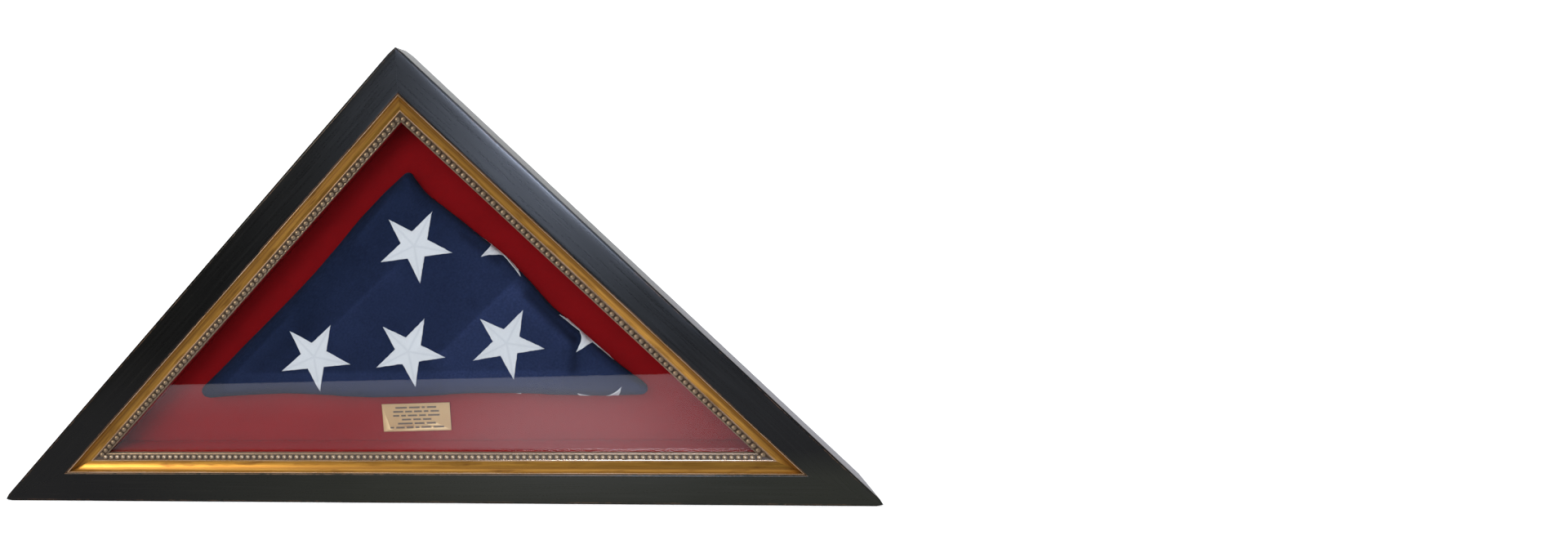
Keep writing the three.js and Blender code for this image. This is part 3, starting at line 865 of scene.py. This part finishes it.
def add_liner(side, material):
    """Cloth-covered strip between the glass and the mount, with the cloth turned softly over its edges."""
    near, far = depth_of("side_liner_" + side)
    outer, inner, soft = RABBET + GAP, RABBET + GAP + 4, 0.9
    outline = [(outer, near), *arc_points((inner - soft, near + soft), soft, -90, 0, 4)]
    outline += straight_points((inner, near + soft), (inner, far - soft), 8)
    outline += [*arc_points((inner - soft, far - soft), soft, 0, 90, 4)[1:], (outer, far)]
    made = stick(side, outline, [0.0] * len(outline), spacing=8, waver=0.12)
    piece = new_piece("covered_liner_" + side, *made, sharp=50)
    settle(piece, material, "side_liner_" + side)


# ---- Mount cloth ----
def add_mount_cloth(material):
    """Cloth stretched over the board: nearly flat, with the faint waves that stretching leaves."""
    front, back = depth_of("mount_cloth")
    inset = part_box("mount_cloth")[0].z / MM
    apex, left, right = (corner_point(corner, inset) for corner in ("apex", "left", "right"))
    rows, set_back, slack, wave_height, ripple_height = 90, 0.22, 0.45, 0.16, 0.05
    points, faces = [(apex.x, front, apex.y)], []
    for row in range(1, rows + 1):
        start, end = apex.lerp(left, row / rows), apex.lerp(right, row / rows)
        above, first = len(points) - row, len(points)
        points += [(at.x, front, at.y) for at in (start.lerp(end, i / row) for i in range(row + 1))]
        for i in range(row):
            faces.append((above + i, first + i, first + i + 1))
            if i < row - 1:
                faces.append((above + i, first + i + 1, above + i + 1))
    for index, (x, y, z) in enumerate(points):
        sway = noise.noise(Vector((x * 0.009, 3.1, z * 0.014)))
        ripple = noise.noise(Vector((x * 0.05, 8.1, z * 0.02)))
        points[index] = (x, y + set_back + wave_height * sway + ripple_height * ripple, z)
    piece = new_piece("stretched_mount_cloth", points, faces)
    thick = piece.modifiers.new("thickness", "SOLIDIFY")
    thick.thickness = (back - front - slack) * MM
    thick.offset = -1
    baked(piece)
    settle(piece, material, "mount_cloth")


# ---- The folded flag ----
FLAG_HALF = 287
FLAG_BASE = 126
FLAG_INRADIUS = FLAG_HALF * math.tan(HALF_ANGLES["left"])
FLAG_CENTRE = Vector((0, FLAG_BASE + FLAG_INRADIUS))
EDGE_WIDTH = 12  # the soft front edge, seen from the front
EDGE_DEPTH = 9  # and from the side
EDGE_RUN = 16.6  # the length of its curve
BACK_ROUNDING = 6
FLAG_SINK = (3.0, 1.0)  # the swelling takes up this much in front and behind
SWELL_FRAMES = 20
# Outward bulges at even steps along each side, clockwise from the lower left corner.
FLAG_SIDES = [
    ((-FLAG_HALF, FLAG_BASE), (0, FLAG_BASE + FLAG_HALF), (6, 5, 4, 2, 0, -1, 0, 2, 1, -3)),
    ((0, FLAG_BASE + FLAG_HALF), (FLAG_HALF, FLAG_BASE), (-3, -8, -4, -1, 2, 0, -4.5, -2.5, -1.5, -0.5, 1)),
    ((FLAG_HALF, FLAG_BASE), (-FLAG_HALF, FLAG_BASE), (4, 6, 4, 2, 2.5, 5, 6, 3, 0, 1.5, 4)),
]


def flag_outline(count, outset):
    """The flag's outline, clockwise from the lower left, as (x, z) rows."""
    steps, smoothings = 400, 14
    dense = []
    for start, end, bulges in FLAG_SIDES:
        start, end = Vector(start), Vector(end)
        outward = -directions(start, end)[1]
        shares = np.arange(steps) / steps
        heights = np.interp(shares, np.linspace(0, 1, len(bulges)), bulges)
        for share, height in zip(shares, heights):
            dense.append(tuple(start.lerp(end, share) + outward * (height + outset)))
    dense = np.array(dense)
    for _ in range(smoothings):
        dense = (np.roll(dense, 1, 0) + 2 * dense + np.roll(dense, -1, 0)) / 4
    gaps = np.linalg.norm(np.roll(dense, -1, 0) - dense, axis=1)
    run = np.concatenate([[0], np.cumsum(gaps)])
    wanted = np.arange(count) * run[-1] / count
    closed = np.vstack([dense, dense[:1]])
    return np.column_stack([np.interp(wanted, run, closed[:, i]) for i in range(2)])


def flag_section(front, back):
    """The flag's edge as (inset, y), from well inside its front, round and to well inside its back."""
    turns = [math.radians(a) for a in range(0, 91, 15)]
    inner = [FLAG_INRADIUS * i / 18 for i in range(17, 2, -1)]
    soft, wide, deep = BACK_ROUNDING, EDGE_WIDTH, EDGE_DEPTH
    section = [(inset, front) for inset in inner]
    section += [(wide * (1 - math.sin(a)), front + deep * (1 - math.cos(a))) for a in turns]
    section += [(soft * (1 - math.sin(a)), back - soft * (1 - math.cos(a))) for a in reversed(turns)]
    section += [(inset, back) for inset in reversed(inner)]
    return section


def pillow(outline, section):
    """A closed soft triangle: the outline drawn in by each inset of the section."""
    count = len(outline)
    centre = np.array(FLAG_CENTRE)
    points = []
    for inset, y in section:
        flat = centre + (outline - centre) * (1 - inset / FLAG_INRADIUS)
        points += [(x, y, z) for x, z in flat]
    end = len(points)
    points += [(centre[0], section[0][1], centre[1]), (centre[0], section[-1][1], centre[1])]
    faces = tube_faces(len(section), count)
    for i in range(count):
        after = (i + 1) % count
        faces += [(end, after, i), (end + 1, end - count + i, end - count + after)]
    return points, faces


def blown_up(piece, voxel, pressure, cap):
    """No point moves more than the cap."""
    remesh = piece.modifiers.new("remesh", "REMESH")
    remesh.mode = "VOXEL"
    remesh.voxel_size = voxel * MM
    baked(piece)
    before = np.array([v.co for v in piece.data.vertices])
    cloth = piece.modifiers.new("cloth", "CLOTH")
    cloth.settings.use_pressure = True
    cloth.settings.uniform_pressure_force = pressure
    cloth.settings.effector_weights.gravity = 0
    cloth.settings.quality = 5
    scene = bpy.context.scene
    for frame_number in range(SWELL_FRAMES):
        scene.frame_set(frame_number + 1)
    baked(piece)
    scene.frame_set(1)
    after = np.array([v.co for v in piece.data.vertices])
    step = after - before
    size = np.linalg.norm(step, axis=1, keepdims=True)
    step *= np.minimum(1.0, cap * MM / np.maximum(size, 1e-9))
    piece.data.vertices.foreach_set("co", (before + step).astype(np.float32).ravel())
    piece.data.update()


def side_inset(x, z, side):
    """How far inside one side of the flag a point lies, and that side's outward direction."""
    start, end = (Vector(point) for point in FLAG_SIDES[side][:2])
    inward = directions(start, end)[1]
    return (Vector((x, z)) - start).dot(inward), -inward


# Soft creases across the front, each from one end to the other with its width and height: below 0 is
# a hollow.
FLAG_CREASES = [
    ((-115, 205), (-12, 296), 6, 1.3),
    ((20, 172), (128, 270), 7, 1.3),
    ((-35, 150), (10, 196), 6, 0.8),
    ((-210, 160), (-120, 225), 9, -1.0),
    ((134, 262), (198, 194), 9, -3.6),
    ((197, 206), (192, 150), 6, -2.6),
    ((60, 334), (112, 292), 6, -2.4),
    ((-60, 350), (-10, 392), 7, -0.9),
    ((112, 262), (184, 178), 9, 2.2),
    ((70, 250), (90, 226), 9, -0.8),
]
# Painted light: paler bands on one side of the edges of the layers beneath and of a ridge, standing in for
# the light they catch: ends, reach and strength.
PAINTED_LIGHT_BANDS = [
    ((-118, 202), (-8, 300), 26, 0.40),
    ((18, 168), (132, 276), 34, 0.60),
    ((-250, 140), (-150, 236), 30, 0.30),
    ((-70, 318), (-10, 388), 22, 0.25),
    ((126, 268), (194, 190), 16, 0.60),
    ((-230, 158), (230, 158), 60, 0.45),
]
PAINTED_LIGHT_LINE = ((-130, 285), (60, 150))  # painted light: the whole front is made paler from the first place to the second
PAINTED_LIGHT_PALE = 0.64
LAYER_PITCH = 5.6
LAYER_SWAY = 1.3
LAYER_GROOVE = 1.5
FLAG_ROLL = 1.6  # broad swells of the front
FLAG_CRUMPLE = 0.5


def along_and_beside(x, z, start, end):
    """How far along a line a point is, as a share, and how far to its lower right."""
    run = Vector(end) - Vector(start)
    offset = Vector((x, z)) - Vector(start)
    beside = (offset.x * run.y - offset.y * run.x) / run.length
    return offset.dot(run) / run.length_squared, beside


def faded(share):
    """Full along the middle of a crease, dying away at both its ends."""
    return math.exp(-((max(0.0, abs(share - 0.5) - 0.35) / 0.12) ** 2))


def creased(piece):
    """Presses creases into the flag's front and the edges of its folded layers into its sides, and notes on
    each vertex how much painted light makes the cloth paler there, how deep it lies in a hollow and how
    deep in a groove between layers, both of which the material darkens as painted shade."""
    middle = sum(depth_of("folded_flag")) / 2
    mesh = piece.data
    normals = [v.normal.copy() for v in mesh.vertices]
    written = []
    for vertex, normal in zip(mesh.vertices, normals):
        x, y, z = vertex.co / MM
        front = max(0.0, -normal.y)
        push = 0.0
        # Painted light: the front is made paler along the line from its first place to its second.
        pale_mix, _ = along_and_beside(x, z, *PAINTED_LIGHT_LINE)
        pale = front * PAINTED_LIGHT_PALE * min(1.0, max(0.0, pale_mix))
        for start, end, width, height in FLAG_CREASES:
            share, beside = along_and_beside(x, z, start, end)
            push += front * faded(share) * height * math.exp(-((beside / width) ** 2))
        # Painted light: paler bands beside layer edges and a ridge.
        for start, end, reach, strength in PAINTED_LIGHT_BANDS:
            share, beside = along_and_beside(x, z, start, end)
            falloff = math.exp(-beside / reach) if beside > 0 else math.exp(-((beside / 2.5) ** 2))
            pale += front * strength * faded(share) * falloff
        # The hollow's depth is noted, and the material darkens it as painted shade.
        hollow = max(0.0, -push)
        push += front * FLAG_ROLL * noise.noise(Vector((x * 0.013, 1.5, z * 0.017)))
        push += front * FLAG_CRUMPLE * noise.noise(Vector((x * 0.045, 5.5, z * 0.04)))
        sideways = 1 - abs(normal.y)
        sway = LAYER_SWAY * noise.noise(Vector((x * 0.02, 2.5, z * 0.02)))
        ridge = 0.5 + 0.5 * math.cos(2 * math.pi * (y - middle + sway) / LAYER_PITCH)
        push -= LAYER_GROOVE * sideways**2 * (1 - ridge) ** 3
        vertex.co += normal * (push * MM)
        written.append((pale, hollow / 3, sideways * (1 - ridge)))
    write_notes(mesh, written)
    mesh.update()


def add_flag(material):
    front, back = depth_of("folded_flag")
    section = flag_section(front + FLAG_SINK[0], back - FLAG_SINK[1])
    piece = new_piece("cotton_flag", *pillow(flag_outline(360, outset=1.2), section))
    blown_up(piece, voxel=4.5, pressure=4.0, cap=4.0)
    smooth = piece.modifiers.new("smooth", "SMOOTH")
    smooth.factor = 0.5
    smooth.iterations = 2
    finer = piece.modifiers.new("finer", "SUBSURF")
    finer.levels = finer.render_levels = 1
    baked(piece)
    creased(piece)
    piece.data.shade_smooth()
    settle(piece, material, "folded_flag")
    return piece


# ---- Stars ----
STAR_RADIUS = 46.5
STAR_NOTCH = STAR_RADIUS * math.sin(math.radians(18)) / math.sin(math.radians(54))
RIM_STEPS = 14
STITCH_WAVER = 0.03
STAR_LEAN = 7  # degrees anticlockwise from one tip straight down
SHORT_CORNERS = (6, 7)  # one tip and the notch after it are a little short
STAR_RINGS = (1.0, 0.975, 0.93, 0.86, 0.77, 0.67, 0.57, 0.47, 0.37, 0.27, 0.18, 0.09)
STAR_WRAP = 26  # a star is cut off this far round an edge, where the layers hide it
STAR_THICKNESS = 0.5
STAR_SINK = 0.4  # how far its back lies in the flag
RAY_LENGTH = 0.08  # metres, from outside the flag to where its surface is looked for
STAR_ROW = Vector((120.5, 7.0))
# Centres as steps along the row from the middle star, then a shift off that row and a further turn.
STARS = {
    "lower_left": (-1, (1, 2), -2),
    "lower_middle": (0, (0, 0), 1),
    "lower_right": (1, (0.5, 1.5), 2),
    "upper": (0, (14, 131), -1),
    "upper_edge": (1, (14, 130), 3),
    "right_edge": (2, (-6, 17), 24),
    "base_edge": (2, (-6, -102.5), 0),
    "base_speck": (1, (-6.5, -107), 0),
}
MIDDLE_STAR = Vector((-8.3, 185.6))


def star_grid(centre, turn):
    """Points of a star as (x, z), faces, and for each point its share out to the rim, its distance from
    the arm's middle line and its distance along that line, both in metres."""
    lean = math.radians(-90 + STAR_LEAN + turn)
    arm_angle = math.radians(72)
    corners = []
    for index in range(10):
        radius = (STAR_NOTCH if index % 2 else STAR_RADIUS) * (0.95 if index in SHORT_CORNERS else 1)
        angle = lean + math.radians(36 * index)
        corners.append(Vector((radius * math.cos(angle), radius * math.sin(angle))))
    rim = []
    for start, end in zip(corners, corners[1:] + corners[:1]):
        for step in range(RIM_STEPS):
            point = start.lerp(end, step / RIM_STEPS)
            waver = noise.noise(Vector((point.x, point.y, centre.x)) * 0.9)
            rim.append(point * (1 + STITCH_WAVER * waver))
    points, written = [], []
    for share in STAR_RINGS:
        for offset in rim:
            at = offset * share
            off_arm = (math.atan2(at.y, at.x) - lean + arm_angle / 2) % arm_angle - arm_angle / 2
            points.append(centre + at)
            beside, along = abs(at.length * math.sin(off_arm)), at.length * math.cos(off_arm)
            written.append((share, beside * MM, along * MM))
    count, middle = len(rim), len(points)
    faces = tube_faces(len(STAR_RINGS), count) + fan_faces(middle, middle - count, count)
    return [*points, centre], faces, [*written, (0.0, 0.0, 0.0)]


def onto_flag(tree, x, z, front):
    """The place and normal on the flag of a point of its unrolled front, which runs on round its edges."""
    for side in range(3):
        inset, outward = side_inset(x, z, side)
        past = EDGE_WIDTH - inset
        if past > 0:
            angle = min(past / EDGE_RUN, 1) * math.pi / 2
            deep = front + EDGE_DEPTH + max(0, past - EDGE_RUN)
            bend = Vector((x, z)) - outward * past
            out = Vector((outward.x * math.sin(angle), -math.cos(angle), outward.y * math.sin(angle)))
            origin = Vector((bend.x, deep, bend.y)) * MM
            return tree.ray_cast(origin + out * RAY_LENGTH, -out)[:2]
    return tree.ray_cast(Vector((x * MM, front * MM - RAY_LENGTH, z * MM)), Vector((0, 1, 0)))[:2]


def add_star(name, centre, turn, tree, front, material):
    """A star laid on the flag as a thin patch with a heavier rim, cut off where it runs out of sight."""
    flat_points, faces, written = star_grid(centre, turn)
    tops, bottoms, marks, index_of = [], [], [], {}
    for i, ((x, z), mark) in enumerate(zip(flat_points, written)):
        if any(side_inset(x, z, side)[0] <= -STAR_WRAP for side in range(3)):
            continue
        hit, normal = onto_flag(tree, x, z, front)
        if hit is None:
            continue
        share = mark[0]
        lift = STAR_THICKNESS * (1.35 if 0.9 < share < 0.99 else 1.0) * (0.35 if share > 0.99 else 1.0)
        index_of[i] = len(tops)
        tops.append(tuple((hit + normal * (lift * MM)) / MM))
        bottoms.append(tuple((hit - normal * (STAR_SINK * MM)) / MM))
        marks.append(mark)
    count = len(tops)
    kept = [tuple(index_of[i] for i in face) for face in faces if all(i in index_of for i in face)]
    edges = {edge for face in kept for edge in zip(face, face[1:] + face[:1])}
    rim = [(a, b) for a, b in sorted(edges) if (b, a) not in edges]
    all_faces = flipped(kept) + [tuple(count + i for i in face) for face in kept]
    all_faces += [(a, b, count + b, count + a) for a, b in rim]
    piece = new_piece("star_" + name, tops + bottoms, all_faces, marks + marks, sharp=60)
    settle(piece, material)


def add_stars(flag, material):
    graph = bpy.context.evaluated_depsgraph_get()
    tree = BVHTree.FromObject(flag, graph)
    front = depth_of("folded_flag")[0] + FLAG_SINK[0]
    for name, (steps, shift, turn) in STARS.items():
        add_star(name, MIDDLE_STAR + STAR_ROW * steps + Vector(shift), turn, tree, front, material)


# ---- Plaque ----
PLAQUE_SIZE = (88, 37)
PLAQUE_TILT = math.radians(1.3)
RULE_HEIGHT = 2.3
RULE_PITCH = 5.3
# Six centred rows of plain dashes, in millimetres.
PLAQUE_ROWS = [
    (15, 14, 4, 12),
    (13, 9, 10, 6, 11),
    (8, 6, 12, 9, 15),
    (12, 10, 11),
    (19, 13, 12),
    (5, 11, 9, 5, 13, 14),
]
WORD_GAP = 2.6
ENGRAVING_DEPTH = 0.3


def box_piece(name, low, high):
    (x0, y0, z0), (x1, y1, z1) = low, high
    points = [(x, y, z) for y in (y0, y1) for x, z in ((x0, z0), (x1, z0), (x1, z1), (x0, z1))]
    faces = [(0, 1, 2, 3), (7, 6, 5, 4), (0, 4, 5, 1), (1, 5, 6, 2), (2, 6, 7, 3), (3, 7, 4, 0)]
    return new_piece(name, points, faces)


def rule_cutter():
    """Blocks that cut the dashes into the plate's front, which lies at y = 0, joined in one object."""
    blocks = []
    for row, words in enumerate(PLAQUE_ROWS):
        z = (len(PLAQUE_ROWS) / 2 - 0.5 - row) * RULE_PITCH
        x = -(sum(words) + WORD_GAP * (len(words) - 1)) / 2
        for word in words:
            low, high = (x, -1, z - RULE_HEIGHT / 2), (x + word, ENGRAVING_DEPTH, z + RULE_HEIGHT / 2)
            blocks.append(box_piece("cutter", low, high))
            x += word + WORD_GAP
    bpy.ops.object.select_all(action="DESELECT")
    for block in blocks:
        block.select_set(True)
    bpy.context.view_layer.objects.active = blocks[0]
    bpy.ops.object.join()
    return blocks[0]


def add_plaque(brass, enamel):
    front, back = depth_of("plaque")
    thick = back - front
    wide, tall = PLAQUE_SIZE
    plate = box_piece("engraved_plaque", (-wide / 2, 0, -tall / 2), (wide / 2, thick, tall / 2))
    baked(bevelled(plate, 0.35))
    cut_out(plate, rule_cutter(), sharp=30)
    plate.matrix_world = front_of("plaque") @ Matrix.Rotation(-PLAQUE_TILT, 4, "Y")
    settle(plate, brass, "plaque")
    plate.data.materials.append(enamel)
    for face in plate.data.polygons:
        x, y, z = face.center / MM
        if abs(x) < wide / 2 - 1 and abs(z) < tall / 2 - 1 and 0.02 < y < thick - 0.1:
            face.material_index = 1


# ---- Fixings on the back ----
def rail_place(side, share, inset, y):
    """A place on the back of a rail: local X along the rail, Y towards the opening, Z out of the back."""
    first, last = RAILS[side]
    start, end = corner_point(first, 0), corner_point(last, 0)
    along, inward = directions(start, end)
    point = start.lerp(end, share) + inward * inset
    axes = Matrix(((along.x, inward.x, 0), (0, 0, 1), (along.y, inward.y, 0))).to_4x4()
    return Matrix.Translation(Vector((point.x, y, point.y)) * MM) @ axes


def lathe(profile, sides):
    """Points and faces of a profile of (radius, z) turned about Z, from the bottom middle to the top."""
    points = []
    for radius, height in profile:
        points += [(x, y, height) for x, y in (ring_points(radius, sides) if radius else [(0, 0)])]
    top = len(points) - 1
    ends = flipped(fan_faces(0, 1, sides)) + fan_faces(top, top - sides, sides)
    return points, tube_faces(len(profile) - 2, sides, 1) + ends


def add_copy(mesh, name, at, material, cad_name, body="case"):
    """A copy of a mesh in a place of its own."""
    settle(new_object(mesh.copy(), name, at), material, cad_name, body)


def screw_mesh(head_radius, head_height, shank_length):
    """A pan-head wood screw with a cross recess; the head's underside is at z = 0."""
    shank, slot = 2, 0.55
    profile = [(0, -shank_length), (0.4, -shank_length + 0.4), (shank, -shank_length + 5), (shank, 0)]
    profile += [(head_radius - 0.2, 0), (head_radius, 0.2)]
    for angle in range(0, 76, 15):
        lift = 0.35 + 0.65 * math.sin(math.radians(angle))
        profile.append((head_radius * math.cos(math.radians(angle)), head_height * lift))
    profile.append((0, head_height))
    screw = new_piece("screw", *lathe(profile, 40), sharp=50)
    reach, bottom = head_radius * 0.52, head_height * 0.4
    for turn in (20, 110):
        arm = box_piece("cutter", (-reach, -slot, bottom), (reach, slot, 9))
        arm.matrix_world = Matrix.Rotation(math.radians(turn), 4, "Z")
        cut_out(screw, arm)
    screw.data.set_sharp_from_angle(angle=math.radians(40))
    return mesh_of(screw)


BUTTON_INSET = 41
BUTTON_THICKNESS = 2
BUTTON_SHARES = {"bottom": (0.25, 0.75), "left": (0.3, 0.72), "right": (0.28, 0.7)}


def button_mesh():
    """A pressed turn button: a wide heel on the pivot, a narrower nose, softly bevelled edges."""
    heel, nose, nose_at = 8, 5, 20
    outline = arc_points((0, 0), heel, 180, 360, 24) + arc_points((0, nose_at), nose, 0, 180, 18)
    count = len(outline)
    points = [(x, y, z) for z in (0, BUTTON_THICKNESS) for x, y in outline]
    faces = [tuple(range(count - 1, -1, -1)), tuple(range(count, 2 * count)), *tube_faces(2, count)]
    return mesh_of(baked(bevelled(new_piece("button", points, faces), 0.55, 3)))


def add_turn_buttons(material):
    button, screw = button_mesh(), screw_mesh(4.4, 2.4, 18)
    for side, shares in BUTTON_SHARES.items():
        for index, share in enumerate(shares, 1):
            name = f"{side}_{index}"
            at = rail_place(side, share, BUTTON_INSET, BACK + GAP)
            lifted = at @ Matrix.Translation((0, 0, (BUTTON_THICKNESS + GAP) * MM))
            cad_name = "turn_button_" + name
            add_copy(button, "brass_button_" + name, at, material, cad_name, cad_name)
            cad_name = "turn_button_screw_" + name
            add_copy(screw, "button_screw_" + name, lifted, material, cad_name)


STRAP_THICKNESS = 1.2
STRAP_WIDTH = 12
STRAP_HOLES = (8, 26)  # from the round end
RING_WIRE = 1.5
LOOP_INNER = RING_WIRE + 0.4
BAR_DISTANCE = 38
RING_HALF_WIDTH = 10
RING_ARM = 6
HANGER_HEIGHT = 330
HANGER_HALF_SPAN = 200


def strap_mesh():
    """Steel strap with a round end, rolled over at the other to hold the ring's bar."""
    half_thick, half_wide, columns = STRAP_THICKNESS / 2, STRAP_WIDTH / 2, 12
    centre = (BAR_DISTANCE, LOOP_INNER + STRAP_THICKNESS)
    line = [(0, half_thick), *straight_points((0, half_thick), (BAR_DISTANCE, half_thick), 14)]
    line += arc_points(centre, LOOP_INNER + half_thick, -90, 200, 22)[1:]
    points = []
    for x, z in line:
        for column in range(columns + 1):
            y = STRAP_WIDTH * (column / columns - 0.5)
            round_end = half_wide - math.sqrt(half_wide**2 - y * y)
            points.append((max(x, round_end) if x < half_wide else x, y, z))
    below = columns + 1
    faces = []
    for row in range(len(line) - 1):
        for a in range(row * below, row * below + columns):
            gaps = [(Vector(points[i]) - Vector(points[i + below])).length for i in (a, a + 1)]
            if max(gaps) > 0.01:
                faces.append((a, a + below, a + below + 1, a + 1))
    strap = new_piece("strap", points, faces)
    clean = bmesh.new()
    clean.from_mesh(strap.data)
    bmesh.ops.remove_doubles(clean, verts=clean.verts, dist=0.02 * MM)
    bmesh.ops.dissolve_degenerate(clean, edges=clean.edges, dist=0.01 * MM)
    clean.to_mesh(strap.data)
    clean.free()
    thick = strap.modifiers.new("thickness", "SOLIDIFY")
    thick.thickness = STRAP_THICKNESS * MM
    thick.offset = 0
    return mesh_of(baked(bevelled(strap, 0.25)))


def ring_line():
    """The D-ring's wire as (x, y), closed, with its bar on the Y axis."""
    bend, half, arm = 2.5, RING_HALF_WIDTH, RING_ARM
    line = straight_points((0, -half + bend), (0, half - bend), 8)
    line += bend_points((0, half - bend), (0, half), (bend, half), 6)
    line += straight_points((bend, half), (arm, half), 3)
    line += arc_points((arm, 0), half, 90, -90, 32)[1:]
    line += straight_points((arm, -half), (bend, -half), 3)
    line += bend_points((bend, -half), (0, -half), (0, -half + bend), 6)
    return line


def ring_mesh():
    """The D-ring's wire, a closed tube."""
    line, sides = ring_line(), 20
    points = []
    for index, here in enumerate(line):
        after = line[(index + 1) % len(line)]
        ahead = (Vector(after) - Vector(line[index - 1])).normalized()
        out = Vector((ahead.y, -ahead.x))
        for across, z in ring_points(RING_WIRE, sides):
            points.append((*(Vector(here) + out * across), z))
    faces = [tuple(i % len(points) for i in face) for face in tube_faces(len(line) + 1, sides)]
    return mesh_of(new_piece("ring", points, faces, sharp=60))


def add_hangers(material):
    strap, ring, screw = strap_mesh(), ring_mesh(), screw_mesh(3.8, 2.0, 16)
    bar = Matrix.Translation(Vector((BAR_DISTANCE, 0, LOOP_INNER + STRAP_THICKNESS)) * MM)
    for side, sign in (("left", 1), ("right", -1)):
        axes = Matrix(((sign, 0, 0), (0, 0, 1), (0, -sign, 0))).to_4x4()
        corner = Vector((-sign * HANGER_HALF_SPAN, BACK + GAP, HANGER_HEIGHT)) * MM
        at = Matrix.Translation(corner) @ axes
        add_copy(strap, "zinc_strap_" + side, at, material, "hanger_strap_" + side)
        cad_name = "d_ring_" + side
        add_copy(ring, "zinc_ring_" + side, at @ bar, material, cad_name, cad_name)
        for index, x in enumerate(STRAP_HOLES, 1):
            hole = Matrix.Translation(Vector((x, 0, STRAP_THICKNESS + GAP)) * MM)
            name = f"{side}_{index}"
            cad_name = "hanger_screw_" + name
            add_copy(screw, "strap_screw_" + name, at @ hole, material, cad_name)


def add_bumpers(material):
    """Moulded stick-on bumpers: a short wall, then a shallow dome cut flat where it meets the wall."""
    profile = [(0, 0), (6.3, 0), (6.5, 0.3), (6.5, 2.6), (6.3, 3.6), (5.9, 4.5), (5.2, 5.3)]
    profile += [(4.2, 5.8), (3.2, 6.0), (0, 6.0)]
    for side in ("left", "right"):
        piece = new_piece("rubber_bumper_" + side, *lathe(profile, 48), sharp=50)
        at = front_of("wall_bumper_" + side)
        piece.matrix_world = at @ Matrix.Rotation(-math.pi / 2, 4, "X")
        settle(piece, material, "wall_bumper_" + side)


# ---- CAD nodes that keep their shape ----
def repaint(material, *names):
    for name in names:
        nodes[name].data.materials.clear()
        nodes[name].data.materials.append(material)


def repaint_nodes():
    repaint(clear_glass(), "glass")
    repaint(paper_board(), "mount_board")
    repaint(pressed_board(), "back_panel")
    repaint(dull_rubber("clear_tape", (0.42, 0.40, 0.34), (0.55, 0.53, 0.47)), "plaque_tape")
    repaint(hook_tape(), *(name for name in nodes if name.startswith("flag_pad_")))
    nail_zinc = plated_steel("nail_zinc", (0.34, 0.34, 0.33), (0.52, 0.52, 0.50), 0.35)
    repaint(nail_zinc, *(name for name in nodes if name.startswith("mitre_nail_")))


def add_case():
    lacquer, gold, pewter = black_lacquer(), gold_leaf(), pewter_leaf()
    # Painted light: the liners' cloth is made paler than the mount's, to lift the shade that falls on them.
    liner_red_painted_light = red_cloth("liner_cloth_painted_light", 1.45)
    for side in RAILS:
        add_outer_rail(side, lacquer)
        add_gold_cove(side, gold)
        add_bead_fillet(side, pewter)
        add_liner(side, liner_red_painted_light)
    add_mount_cloth(red_cloth("red_cloth", 1.0))


def add_hardware():
    add_turn_buttons(plated_steel("brassed_steel", (0.42, 0.25, 0.07), (0.62, 0.41, 0.14), 0.28))
    add_hangers(plated_steel("zinc_steel", (0.38, 0.38, 0.36), (0.58, 0.58, 0.56), 0.30))
    add_bumpers(dull_rubber("bumper_rubber", (0.012, 0.012, 0.012), (0.030, 0.030, 0.030)))


bpy.context.scene.view_settings.view_transform = "Standard"
add_camera()
add_world()
window = add_lights()
add_studio()
repaint_nodes()
add_case()
spare(window, ["beaded_fillet_left", "beaded_fillet_right", *("gilded_cove_" + side for side in RAILS)])
flag = add_flag(flag_cotton())
add_stars(flag, star_thread())
add_plaque(brushed_brass(), engraving_enamel())
add_hardware()
